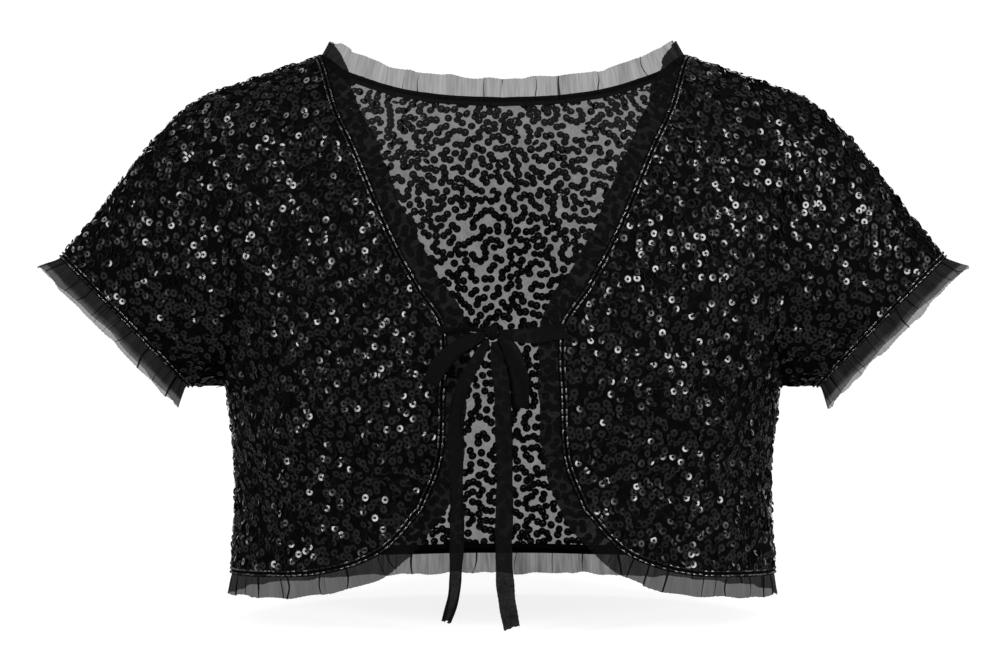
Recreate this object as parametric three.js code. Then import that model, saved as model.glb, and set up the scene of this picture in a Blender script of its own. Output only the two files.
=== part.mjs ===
import * as THREE from 'three';

// Cropped evening bolero: two curved fronts and a back of sequined mesh, two short set-in sleeves,
// raw-edged ruffles round every edge, and a ribbon tied in a bow below the bust.
// Millimetres, +Z up, the garment's front faces -Y. "left" is the wearer's left, which is +X.
// The origin is the middle of the neck opening, level with the two neck points.

// ---- Cloth and seams ----
const PANEL_WALL = 2.0;
const RUFFLE_WALL = 1.0;
const RUFFLE_START = 0.75;
const RIBBON_WALL = 0.8;
const SEAM_GAP = 0.3;

// ---- The worn form ----
const CHEST_HEIGHT = -190;
const UNDERARM_HEIGHT = -216;
const CROWN_RUN = 230;
const CROWN_TOP = CHEST_HEIGHT + CROWN_RUN;
const SHOULDER_SPAN = 228;
const NECK_POINT = { across: 117, height: -4 };
const SHOULDER_SLOPE = 0.35;
const SHOULDER_ROUNDING = 40;
const GIRTH_SCALE = 110;
const FRONT = -1;
const BACK = 1;

const TORSO_RINGS = [
  { height: -352, halfWidth: 176.5, front: 101, back: 98 },
  { height: -336, halfWidth: 175.5, front: 101, back: 97 },
  { height: -275, halfWidth: 172.5, front: 104, back: 94 },
  { height: -232, halfWidth: 176, front: 110, back: 98 },
  { height: -190, halfWidth: 183, front: 113, back: 102 },
  { height: -150, halfWidth: 200, front: 113, back: 102 },
  { height: -110, halfWidth: 213, front: 113, back: 102 },
  { height: -30, halfWidth: 228, front: 113, back: 102 },
  { height: 30, halfWidth: 232, front: 113, back: 102 },
];

// Soft drag folds: a ridge (depth above 0) or trough (below 0) along a line, with its half width.
// FOLD_HELD is the share of the line, each way from its middle, that keeps the full depth.
const FOLD_HELD = 0.3;
const FOLDS = [
  { side: FRONT, fromAcross: 168, fromHeight: -222, toAcross: 96, toHeight: -176, depth: -2.4, spread: 10 },
  { side: FRONT, fromAcross: 160, fromHeight: -250, toAcross: 92, toHeight: -206, depth: 2.0, spread: 12 },
  { side: FRONT, fromAcross: 150, fromHeight: -150, toAcross: 118, toHeight: -60, depth: -2.0, spread: 11 },
  { side: FRONT, fromAcross: 128, fromHeight: -240, toAcross: 136, toHeight: -330, depth: 2.2, spread: 13 },
  { side: FRONT, fromAcross: 96, fromHeight: -235, toAcross: 98, toHeight: -318, depth: -1.8, spread: 12 },
  { side: BACK, fromAcross: 166, fromHeight: -224, toAcross: 104, toHeight: -188, depth: -2.4, spread: 11 },
  { side: BACK, fromAcross: 142, fromHeight: -170, toAcross: 120, toHeight: -76, depth: -2.0, spread: 12 },
  { side: BACK, fromAcross: 118, fromHeight: -236, toAcross: 124, toHeight: -336, depth: 2.2, spread: 14 },
  { side: BACK, fromAcross: 52, fromHeight: -250, toAcross: 56, toHeight: -336, depth: -2.0, spread: 13 },
];

// ---- Cut edges, from the top down; a height of null lies on the shoulder seam ----
const FRONT_EDGE = [
  { across: 117, height: null },
  { across: 104.5, height: -31 },
  { across: 92.5, height: -55.5 },
  { across: 71, height: -104.5 },
  { across: 51, height: -142 },
  { across: 37.5, height: -161 },
  { across: 34.5, height: -171 },
  { across: 35, height: -207 },
  { across: 37.5, height: -251 },
  { across: 49.5, height: -283 },
];
const FRONT_HEM = [
  { across: 49.5, height: -283 },
  { across: 76, height: -311 },
  { across: 112, height: -325.5 },
  { across: 150, height: -331 },
  { across: 176, height: -336 },
];
const ARMHOLE = [
  { across: 190, height: null },
  { across: 181, height: -62 },
  { across: 173, height: -108 },
  { across: 170, height: -150 },
  { across: 173, height: -188 },
  { across: 179, height: -216 },
];
const BACK_NECK = [
  { across: 0, height: -32 },
  { across: 20, height: -31.3 },
  { across: 42.5, height: -29.6 },
  { across: 68, height: -25.3 },
  { across: 90.5, height: -18 },
  { across: 104.5, height: -11.5 },
  { across: 117, height: null },
];
const BACK_HEM_HEIGHT = -336.5;
const BAND_WIDTH = 5;

// ---- Sleeves ----
const CUFF = { across: 243.3, height: -174.2, halfLength: 58.5, halfDepth: 31, backDrop: 4 };
const CUFF_ALONG = new THREE.Vector3(0.6956, 0, 0.7183);
const ARM_WAY = new THREE.Vector3(0.7183, 0, -0.6956);
const SLEEVE_CROWN = 5.5;
const SLEEVE_CROWN_FALL = 2.5;
const SLEEVE_FULLNESS = 5;
const SLEEVE_DRAGS = [
  { angle: 1.1, depth: -2.2, spread: 0.224 },
  { angle: 5.0, depth: -1.6, spread: 0.245 },
];

// ---- Ruffles ----
const TUCK_SPACING = 18;
const STEPS_A_TUCK = 4;
const RUFFLE = {
  front: { width: 12, wave: 1.1, tuckSeed: 1 },
  neck: { width: 12, wave: 1.0, tuckSeed: 2 },
  hem: { width: 13, wave: 1.2, tuckSeed: 3 },
  cuff: { width: 15, wave: 1.2, tuckSeed: 4 },
};
// The neck ruffles stand out of the cloth, highest at the back, and lie flat past STAND_LENGTH.
const BACK_STAND = 46;
const NECK_STAND = 40;
const LIE_ANGLE = 6;
const STAND_LENGTH = 70;
// Both neck ruffles are trimmed narrower near the shoulder seam.
const NECK_TRIM = 2;
const NECK_TRIM_DEPTH = 32;
// The front ruffle runs on round the hem; this share of its steps is along the neck and centre edge.
const EDGE_SHARE = 0.6;
const RIGHT_TUCK_SHIFT = 7;
const CUFF_FLARE = { least: 0.15, atEnds: 0.3 };
const CUFF_TRIM = { atSides: 2.8, atFront: 1.6 };
const RAW_EDGE = { depth: 0.5, shortWave: 4.7, longWave: 11.3 };
const FINE_STEPS = 400;
const TANGENT_SHARE = 0.004;
const CUFF_TANGENT = 0.07;

// ---- Panel grids ----
const ROWS_BELOW_ARM = 6;
const ROWS_AT_ARM = 14;
const FRONT_COLUMNS = 11;
const NECK_COLUMNS = 10;
const SHOULDER_COLUMNS = 4;
const SLEEVE_STEPS = 8;

// ---- Bow ----
const KNOT = { across: -7, depth: -116.5, height: -170.5, halfWidth: 4, halfDepth: 3.2, halfHeight: 4.6 };

const COLOURS = { sequins: 0x0b0b0d, chiffon: 0x2a2a2c, band: 0x101012, ribbon: 0x141416 };

const radians = THREE.MathUtils.degToRad;
const lerp = THREE.MathUtils.lerp;

// A smooth value through rows of a table, with each slope taken from the rows on both sides.
function smoothValue(knots, values, at) {
  const last = knots.length - 1;
  const slope = (row) => {
    const before = Math.max(row - 1, 0);
    const after = Math.min(row + 1, last);
    return (values[after] - values[before]) / (knots[after] - knots[before]);
  };
  let row = 0;
  while (row < last - 1 && at > knots[row + 1]) row += 1;
  const run = knots[row + 1] - knots[row];
  const s = THREE.MathUtils.clamp((at - knots[row]) / run, 0, 1);
  const rise = s * s * (3 - 2 * s);
  const leave = s * (1 - s) * (1 - s) * run;
  const arrive = s * s * (s - 1) * run;
  return lerp(values[row], values[row + 1], rise) + leave * slope(row) + arrive * slope(row + 1);
}

const RING_HEIGHTS = TORSO_RINGS.map((ring) => ring.height);
const RING_COLUMNS = {
  halfWidth: TORSO_RINGS.map((ring) => ring.halfWidth),
  front: TORSO_RINGS.map((ring) => ring.front),
  back: TORSO_RINGS.map((ring) => ring.back),
};

function ringValue(column, height) {
  return smoothValue(RING_HEIGHTS, RING_COLUMNS[column], height);
}

// The shoulder line: level over the neck, falling evenly towards the arms.
function shoulderHeight(across) {
  const run = Math.hypot(across, SHOULDER_ROUNDING) - Math.hypot(NECK_POINT.across, SHOULDER_ROUNDING);
  return NECK_POINT.height - SHOULDER_SLOPE * run;
}

function foldRise(across, height, side) {
  let rise = 0;
  for (const fold of FOLDS) {
    if (fold.side !== side) continue;
    const alongAcross = fold.toAcross - fold.fromAcross;
    const alongHeight = fold.toHeight - fold.fromHeight;
    const length = Math.hypot(alongAcross, alongHeight);
    const along = ((across - fold.fromAcross) * alongAcross + (height - fold.fromHeight) * alongHeight)
      / (length * length);
    const beside = ((across - fold.fromAcross) * alongHeight - (height - fold.fromHeight) * alongAcross)
      / length;
    const past = Math.max(Math.abs(along - 0.5) - FOLD_HELD, 0) * length;
    rise += fold.depth * Math.exp(-((beside * beside) / (fold.spread * fold.spread)))
      * Math.exp(-((past * past) / (4 * fold.spread * fold.spread)));
  }
  return rise;
}

// A point of the cloth's outer face. turn runs from 0 at the side seam to a quarter turn at the centre;
// climb is the height up to the chest, and past it runs over a quarter ellipse up to the shoulder line.
function torsoPoint(turn, climb, side) {
  const crown = (Math.max(climb - CHEST_HEIGHT, 0) / CROWN_RUN) * (Math.PI / 2);
  const top = shoulderHeight(SHOULDER_SPAN * Math.cos(turn));
  const height = climb < CHEST_HEIGHT ? climb : CHEST_HEIGHT + (top - CHEST_HEIGHT) * Math.sin(crown);
  const across = ringValue('halfWidth', height) * Math.cos(turn);
  const depth = ringValue(side === FRONT ? 'front' : 'back', height) * Math.sin(turn) * Math.cos(crown);
  const settled = THREE.MathUtils.smoothstep(turn, 0, radians(30)) * Math.cos(crown);
  const rise = foldRise(across, height, side) * settled;
  return new THREE.Vector3(across + rise * Math.cos(turn), side * (depth + rise * Math.sin(turn)), height);
}

function torsoSlopes(spot, side) {
  const step = 1e-3;
  const climb = Math.min(spot.climb, CROWN_TOP - 2);
  const here = torsoPoint(spot.turn, climb, side);
  const round = torsoPoint(spot.turn + step, climb, side).sub(here).divideScalar(step);
  const up = torsoPoint(spot.turn, climb + step, side).sub(here).divideScalar(step);
  return { round, up };
}

// The way out of the cloth. turn grows towards the centre, so the front and back faces differ in sign.
function torsoNormal(spot, side) {
  const { round, up } = torsoSlopes(spot, side);
  const normal = new THREE.Vector3().crossVectors(round, up).multiplyScalar(side).normalize();
  if (spot.climb > CROWN_TOP - 2) normal.setY(0).normalize();
  if (spot.turn < 1e-6) normal.setY(0).normalize();
  return normal;
}

// The turn and climb of a row given by its distance from the centre line and its height.
function onTorso(row) {
  if (row.height === null) {
    let turn = Math.acos(row.across / SHOULDER_SPAN);
    for (let pass = 0; pass < 8; pass += 1) {
      const height = shoulderHeight(SHOULDER_SPAN * Math.cos(turn));
      turn = Math.acos(row.across / ringValue('halfWidth', height));
    }
    return { turn, climb: CROWN_TOP };
  }
  const turn = Math.acos(Math.min(row.across / ringValue('halfWidth', row.height), 1));
  if (row.height <= CHEST_HEIGHT) return { turn, climb: row.height };
  const top = shoulderHeight(SHOULDER_SPAN * Math.cos(turn));
  const crown = Math.asin(Math.min((row.height - CHEST_HEIGHT) / (top - CHEST_HEIGHT), 1));
  return { turn, climb: CHEST_HEIGHT + CROWN_RUN * (crown / (Math.PI / 2)) };
}

// A smooth line over the cloth through a table's rows; its argument is the share of its length.
function lineOnTorso(spots) {
  const knots = [0];
  for (let i = 1; i < spots.length; i += 1) {
    const girth = GIRTH_SCALE * (spots[i].turn - spots[i - 1].turn);
    knots.push(knots[i - 1] + Math.hypot(girth, spots[i].climb - spots[i - 1].climb));
  }
  const turns = spots.map((spot) => spot.turn);
  const climbs = spots.map((spot) => spot.climb);
  const whole = knots[knots.length - 1];
  return (share) => ({
    turn: Math.max(smoothValue(knots, turns, share * whole), 0),
    climb: Math.min(smoothValue(knots, climbs, share * whole), CROWN_TOP),
  });
}

// The spot that lies a distance from a line, at right angles to it over the cloth.
function beside(line, share, distance, side) {
  const step = 1e-3;
  const spot = line(share);
  const { round, up } = torsoSlopes(spot, side);
  const before = line(Math.max(share - step, 0));
  const after = line(Math.min(share + step, 1));
  const way = round.clone().multiplyScalar(after.turn - before.turn)
    .addScaledVector(up, after.climb - before.climb).normalize();
  const out = new THREE.Vector3().crossVectors(torsoNormal(spot, side), way).normalize();
  const aa = round.dot(round);
  const ab = round.dot(up);
  const bb = up.dot(up);
  const ra = round.dot(out);
  const rb = up.dot(out);
  const det = aa * bb - ab * ab;
  return {
    turn: Math.max(spot.turn + (distance * (ra * bb - rb * ab)) / det, 0),
    climb: Math.min(spot.climb + (distance * (rb * aa - ra * ab)) / det, CROWN_TOP),
  };
}

const turnsTo = (turn, climb) => ({ turn, climb });
const QUARTER = Math.PI / 2;

const frontEdge = lineOnTorso([...FRONT_EDGE].reverse().map(onTorso));
const frontHem = lineOnTorso(FRONT_HEM.map(onTorso).map((spot, row, rows) => (
  row === rows.length - 1 ? turnsTo(0, FRONT_HEM[row].height) : spot)));
const sideFoot = turnsTo(0, FRONT_HEM[FRONT_HEM.length - 1].height);
const armholeLines = {};
for (const side of [FRONT, BACK]) {
  const rows = [...ARMHOLE].reverse().map(onTorso);
  rows[0] = turnsTo(0, UNDERARM_HEIGHT);
  armholeLines[side] = lineOnTorso(rows);
}
const backNeck = lineOnTorso(BACK_NECK.map(onTorso));
const backHem = (share) => turnsTo(QUARTER * (1 - share), lerp(BACK_HEM_HEIGHT, sideFoot.climb, share));

// Side edge of a panel: row 0 at the hem, then the underarm, then the shoulder point.
const TOTAL_ROWS = ROWS_BELOW_ARM + ROWS_AT_ARM;
function sideSpot(row, side, hemClimb) {
  if (row <= ROWS_BELOW_ARM) return turnsTo(0, lerp(hemClimb, UNDERARM_HEIGHT, row / ROWS_BELOW_ARM));
  return armholeLines[side]((row - ROWS_BELOW_ARM) / ROWS_AT_ARM);
}

// Fills a panel between its four edges, so that each edge is kept.
function fillPanel(columns, hemAt, topAt, innerAt, outerAt) {
  const corners = [innerAt(0), outerAt(0), innerAt(TOTAL_ROWS), outerAt(TOTAL_ROWS)];
  const grid = [];
  for (let row = 0; row <= TOTAL_ROWS; row += 1) {
    const v = row / TOTAL_ROWS;
    const line = [];
    for (let column = 0; column <= columns; column += 1) {
      const u = column / columns;
      const edges = [hemAt(column), topAt(column), innerAt(row), outerAt(row)];
      const mix = (key) => (1 - v) * edges[0][key] + v * edges[1][key]
        + (1 - u) * edges[2][key] + u * edges[3][key]
        - (1 - u) * (1 - v) * corners[0][key] - u * (1 - v) * corners[1][key]
        - (1 - u) * v * corners[2][key] - u * v * corners[3][key];
      line.push(turnsTo(Math.max(mix('turn'), 0), Math.min(mix('climb'), CROWN_TOP)));
    }
    grid.push(line);
  }
  return grid;
}

// One closed wall from two matching grids of points, outer and inner. turnedEnds takes the other diagonal
// on the two end faces, so that they match the faces of a piece that runs the other way.
function wallBetween(outer, inner, { closedRows = false, turnedEnds = false } = {}) {
  const rows = outer.length;
  const columns = outer[0].length;
  const points = [];
  for (const face of [outer, inner]) for (const line of face) points.push(...line);
  const at = (face, row, column) => face * rows * columns + row * columns + (column % columns);
  const faces = [];
  const quad = (a, b, c, d) => faces.push(a, b, c, a, c, d);
  const endQuad = (a, b, c, d) => (turnedEnds ? quad(b, c, d, a) : quad(a, b, c, d));
  const lastColumn = closedRows ? columns : columns - 1;
  for (let row = 0; row < rows - 1; row += 1) {
    for (let column = 0; column < lastColumn; column += 1) {
      quad(at(0, row, column), at(0, row, column + 1), at(0, row + 1, column + 1), at(0, row + 1, column));
      quad(at(1, row, column), at(1, row + 1, column), at(1, row + 1, column + 1), at(1, row, column + 1));
    }
  }
  for (let column = 0; column < lastColumn; column += 1) {
    const end = rows - 1;
    quad(at(0, 0, column), at(1, 0, column), at(1, 0, column + 1), at(0, 0, column + 1));
    quad(at(0, end, column), at(0, end, column + 1), at(1, end, column + 1), at(1, end, column));
  }
  if (!closedRows) {
    const end = columns - 1;
    for (let row = 0; row < rows - 1; row += 1) {
      endQuad(at(0, row, 0), at(0, row + 1, 0), at(1, row + 1, 0), at(1, row, 0));
      endQuad(at(0, row, end), at(1, row, end), at(1, row + 1, end), at(0, row + 1, end));
    }
  }
  return solidFrom(points, faces);
}

// Makes the geometry, turned so that its faces point out.
function solidFrom(points, faces) {
  let volume = 0;
  for (let i = 0; i < faces.length; i += 3) {
    const [a, b, c] = [points[faces[i]], points[faces[i + 1]], points[faces[i + 2]]];
    volume += a.dot(new THREE.Vector3().crossVectors(b, c));
  }
  const index = volume < 0 ? [...faces].reverse() : faces;
  const geometry = new THREE.BufferGeometry();
  geometry.setAttribute('position', new THREE.Float32BufferAttribute(points.flatMap((p) => p.toArray()), 3));
  geometry.setIndex(index);
  geometry.computeVertexNormals();
  return geometry;
}

const mirrorPoint = (point) => new THREE.Vector3(-point.x, point.y, point.z);
const mirrorGrid = (grid) => grid.map((line) => line.map(mirrorPoint));

// ---- Armhole seam: the panel and the sleeve meet on one mitre, half a gap back on each side ----
function cuffPoint(angle) {
  const out = new THREE.Vector3(CUFF.across, 0, CUFF.height);
  out.addScaledVector(CUFF_ALONG, -CUFF.halfLength * Math.cos(angle));
  out.y -= CUFF.halfDepth * Math.sin(angle);
  return out.addScaledVector(ARM_WAY, -CUFF.backDrop * Math.sin(angle));
}

// Points of the armhole loop: from the underarm up the front to the shoulder, and down the back.
function armholeLoop() {
  const loop = [];
  for (let row = 0; row <= ROWS_AT_ARM; row += 1) {
    loop.push({ side: FRONT, row, spot: armholeLines[FRONT](row / ROWS_AT_ARM) });
  }
  for (let row = ROWS_AT_ARM - 1; row > 0; row -= 1) {
    loop.push({ side: BACK, row, spot: armholeLines[BACK](row / ROWS_AT_ARM) });
  }
  for (const place of loop) {
    place.point = torsoPoint(place.spot.turn, place.spot.climb, place.side);
    place.normal = torsoNormal(place.spot, place.side);
    if (place.row === 0 || place.row === ROWS_AT_ARM) place.point.setY(0);
  }
  return loop;
}

const loop = armholeLoop();
const LOOP_COUNT = loop.length;

// The share of the way round, by length, of each armhole point; 0 at the underarm, 0.5 at the shoulder.
function loopShares() {
  const lengths = [0];
  for (let i = 1; i <= LOOP_COUNT; i += 1) {
    lengths.push(lengths[i - 1] + loop[i % LOOP_COUNT].point.distanceTo(loop[i - 1].point));
  }
  const top = lengths[ROWS_AT_ARM];
  const whole = lengths[LOOP_COUNT];
  return loop.map((place, i) => (
    i <= ROWS_AT_ARM ? (0.5 * lengths[i]) / top : 0.5 + (0.5 * (lengths[i] - top)) / (whole - top)));
}

const shares = loopShares();

// The sleeve head rises soon after the seam and falls away towards the cuff.
const crownShape = (along) => along * (1 - along) ** SLEEVE_CROWN_FALL;
const CROWN_PEAK = 1 / (1 + SLEEVE_CROWN_FALL);

// A point of the sleeve's outer face; along is 0 at the armhole and 1 at the cuff.
function sleevePoint(i, along) {
  const place = loop[(i + LOOP_COUNT) % LOOP_COUNT];
  const angle = 2 * Math.PI * shares[(i + LOOP_COUNT) % LOOP_COUNT];
  const cuff = cuffPoint(angle);
  const point = place.point.clone().lerp(cuff, along);
  const height = -Math.cos(angle);
  const depth = -Math.sin(angle);
  const crown = SLEEVE_CROWN * Math.max(height, 0) * (crownShape(along) / crownShape(CROWN_PEAK));
  let full = SLEEVE_FULLNESS * Math.abs(depth);
  for (const drag of SLEEVE_DRAGS) {
    full += drag.depth * Math.exp(-(((angle - drag.angle) / drag.spread) ** 2));
  }
  point.addScaledVector(CUFF_ALONG, crown);
  point.y += Math.sign(depth) * full * Math.sin(Math.PI * along);
  return point;
}

function sleeveNormal(i, along) {
  const step = 0.02;
  const low = Math.max(along - step, 0);
  const high = Math.min(along + step, 1);
  const down = sleevePoint(i, high).sub(sleevePoint(i, low));
  const round = sleevePoint(i + 1, along).sub(sleevePoint(i - 1, along));
  return new THREE.Vector3().crossVectors(down, round).normalize();
}

// The mitre at each armhole point: the shared inner corner and the way from panel to sleeve.
const mitres = loop.map((place, i) => {
  const sleeveWay = sleeveNormal(i, 0);
  const share = 1 + place.normal.dot(sleeveWay);
  const inner = place.point.clone()
    .addScaledVector(place.normal.clone().add(sleeveWay), -PANEL_WALL / share);
  const tangent = loop[(i + 1) % LOOP_COUNT].point.clone()
    .sub(loop[(i + LOOP_COUNT - 1) % LOOP_COUNT].point).normalize();
  const across = new THREE.Vector3().crossVectors(tangent, inner.clone().sub(place.point)).normalize();
  const away = sleevePoint(i, 0.2).sub(place.point);
  if (across.dot(away.addScaledVector(place.normal, 0.01)) < 0) across.negate();
  return { outer: place.point, inner, across };
});

function mitrePoints(i, towardsSleeve) {
  const mitre = mitres[i];
  const shift = (towardsSleeve ? 0.5 : -0.5) * SEAM_GAP;
  return {
    outer: mitre.outer.clone().addScaledVector(mitre.across, shift),
    inner: mitre.inner.clone().addScaledVector(mitre.across, shift),
  };
}

const loopIndex = (row, side) => (side === FRONT ? row : (LOOP_COUNT - row) % LOOP_COUNT);

// Turns a grid of spots into the outer and inner points of a panel, with its seams held apart.
function panelPoints(grid, side) {
  const outer = [];
  const inner = [];
  const lastColumn = grid[0].length - 1;
  grid.forEach((line, row) => {
    const outerLine = [];
    const innerLine = [];
    line.forEach((spot, column) => {
      const out = torsoPoint(spot.turn, spot.climb, side);
      const within = out.clone().addScaledVector(torsoNormal(spot, side), -PANEL_WALL);
      if (column === lastColumn && row >= ROWS_BELOW_ARM) {
        const corner = mitrePoints(loopIndex(row - ROWS_BELOW_ARM, side), false);
        out.copy(corner.outer);
        within.copy(corner.inner);
      }
      const onSeam = spot.climb > CROWN_TOP - 1e-6 || spot.turn < 1e-6;
      if (onSeam) {
        out.y = (side * SEAM_GAP) / 2;
        within.y = (side * SEAM_GAP) / 2;
      }
      outerLine.push(out);
      innerLine.push(within);
    });
    outer.push(outerLine);
    inner.push(innerLine);
  });
  return { outer, inner };
}

const meshes = [];
function addMesh(name, geometry, colour, roughness, opacity = 1) {
  const material = new THREE.MeshStandardMaterial({ color: colour, roughness, metalness: 0 });
  material.transparent = opacity < 1;
  material.opacity = opacity;
  const mesh = new THREE.Mesh(geometry, material);
  mesh.name = name;
  meshes.push(mesh);
}

// ---- Fronts: straight side seam, sloping shoulder, deep V neck and a rounded corner at the hem ----
function addFronts() {
  const innerAt = (row) => frontEdge(row / TOTAL_ROWS);
  const outerAt = (row) => sideSpot(row, FRONT, sideFoot.climb);
  const hemAt = (column) => frontHem(column / FRONT_COLUMNS);
  const neck = onTorso(FRONT_EDGE[0]);
  const tip = onTorso(ARMHOLE[0]);
  const topAt = (column) => turnsTo(lerp(neck.turn, tip.turn, column / FRONT_COLUMNS), CROWN_TOP);
  const { outer, inner } = panelPoints(fillPanel(FRONT_COLUMNS, hemAt, topAt, innerAt, outerAt), FRONT);
  addMesh('front_left', wallBetween(outer, inner), COLOURS.sequins, 0.35);
  addMesh('front_right', wallBetween(mirrorGrid(outer), mirrorGrid(inner)), COLOURS.sequins, 0.35);
}

// ---- Back: one piece from side seam to side seam, inside its neck band and hem band ----
const BAND_SETBACK = BAND_WIDTH + SEAM_GAP;

// A spot that lies a distance inside the neck edge; the last one stays on the shoulder seam.
function insideNeck(share, distance) {
  if (share < 1) return beside(backNeck, share, distance, BACK);
  const neck = backNeck(1);
  return turnsTo(neck.turn - distance / (SHOULDER_SPAN * Math.sin(neck.turn)), CROWN_TOP);
}

function backGrid() {
  const columns = NECK_COLUMNS + SHOULDER_COLUMNS;
  const neckStop = insideNeck(1, BAND_SETBACK);
  const tip = onTorso(ARMHOLE[0]);
  const topAt = (column) => {
    if (column < NECK_COLUMNS) return insideNeck(column / NECK_COLUMNS, BAND_SETBACK);
    const share = (column - NECK_COLUMNS) / SHOULDER_COLUMNS;
    return turnsTo(lerp(neckStop.turn, tip.turn, share), CROWN_TOP);
  };
  const hemAt = (column) => {
    const spot = backHem(column / columns);
    return turnsTo(spot.turn, spot.climb + BAND_SETBACK);
  };
  const outerAt = (row) => sideSpot(row, BACK, sideFoot.climb + BAND_SETBACK);
  const foot = hemAt(0);
  const top = topAt(0);
  const innerAt = (row) => turnsTo(QUARTER, lerp(foot.climb, top.climb, row / TOTAL_ROWS));
  return fillPanel(columns, hemAt, topAt, innerAt, outerAt);
}

function bothHalves(half) {
  return half.map((line) => [...line.slice(1).map(mirrorPoint).reverse(), ...line]);
}

function addBack() {
  const { outer, inner } = panelPoints(backGrid(), BACK);
  const wall = wallBetween(bothHalves(outer), bothHalves(inner), { turnedEnds: true });
  addMesh('back', wall, COLOURS.sequins, 0.35);
}

// A narrow band of the panel's own thickness, between a cut edge and a line beside it.
function bandHalf(lineSpot, innerSpot, steps) {
  const outer = [[], []];
  const inner = [[], []];
  for (let step = 0; step <= steps; step += 1) {
    [lineSpot(step / steps), innerSpot(step / steps)].forEach((spot, row) => {
      const out = torsoPoint(spot.turn, spot.climb, BACK);
      const within = out.clone().addScaledVector(torsoNormal(spot, BACK), -PANEL_WALL);
      if (step === steps) {
        out.y = SEAM_GAP / 2;
        within.y = SEAM_GAP / 2;
      }
      outer[row].push(out);
      inner[row].push(within);
    });
  }
  return wallBetween(bothHalves(outer), bothHalves(inner));
}

function addBands() {
  const neckInner = (share) => insideNeck(share, BAND_WIDTH);
  addMesh('band_back_neck', bandHalf(backNeck, neckInner, NECK_COLUMNS), COLOURS.band, 0.6);
  const hemInner = (share) => turnsTo(backHem(share).turn, backHem(share).climb + BAND_WIDTH);
  addMesh('band_back_hem', bandHalf(backHem, hemInner, NECK_COLUMNS + SHOULDER_COLUMNS), COLOURS.band, 0.6);
}

// ---- Sleeves: short and set in, fuller at the armhole than at the slanting cuff ----
function addSleeves() {
  const outer = [];
  const inner = [];
  for (let step = 0; step <= SLEEVE_STEPS; step += 1) {
    const along = step / SLEEVE_STEPS;
    const outerLine = [];
    const innerLine = [];
    for (let i = 0; i < LOOP_COUNT; i += 1) {
      if (step === 0) {
        const corner = mitrePoints(i, true);
        outerLine.push(corner.outer);
        innerLine.push(corner.inner);
      } else {
        const out = sleevePoint(i, along);
        outerLine.push(out);
        innerLine.push(out.clone().addScaledVector(sleeveNormal(i, along), -PANEL_WALL));
      }
    }
    outer.push(outerLine);
    inner.push(innerLine);
  }
  const round = { closedRows: true };
  addMesh('sleeve_left', wallBetween(outer, inner, round), COLOURS.sequins, 0.35);
  addMesh('sleeve_right', wallBetween(mirrorGrid(outer), mirrorGrid(inner), round), COLOURS.sequins, 0.35);
}

// ---- Ruffles ----
// How far round the tucks a ruffle has come, in whole tucks, with uneven spacing.
function tuckPhase(length, seed) {
  const tucks = length / TUCK_SPACING;
  return tucks + 0.16 * Math.sin(1.9 * tucks + seed) + 0.1 * Math.sin(4.3 * tucks + 2 * seed);
}

function tuckWave(length, seed) {
  return 1 - 2 * Math.abs(Math.sin(Math.PI * tuckPhase(length, seed)));
}

function rawEdge(length, seed) {
  return RAW_EDGE.depth * (Math.sin(length / RAW_EDGE.shortWave + seed)
    + Math.sin(length / RAW_EDGE.longWave + 2.1 * seed));
}

// A strip sewn along rooted sections: root, the way it hangs, the way out, and its distance along.
// The strip is flat at the root, and its tucks grow towards the raw edge.
function ruffleStrip(sections, ruffle, closed = false) {
  const outer = [[], []];
  const inner = [[], []];
  for (const { root, way, out, length, trim = 0 } of sections) {
    const width = ruffle.width - trim + rawEdge(length, ruffle.tuckSeed);
    const tip = root.clone().addScaledVector(way, width)
      .addScaledVector(out, ruffle.wave * tuckWave(length, ruffle.tuckSeed));
    [root, tip].forEach((point, row) => {
      outer[row].push(point.clone().addScaledVector(out, RUFFLE_WALL / 2));
      inner[row].push(point.clone().addScaledVector(out, -RUFFLE_WALL / 2));
    });
  }
  return wallBetween(outer, inner, { closedRows: closed });
}

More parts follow.
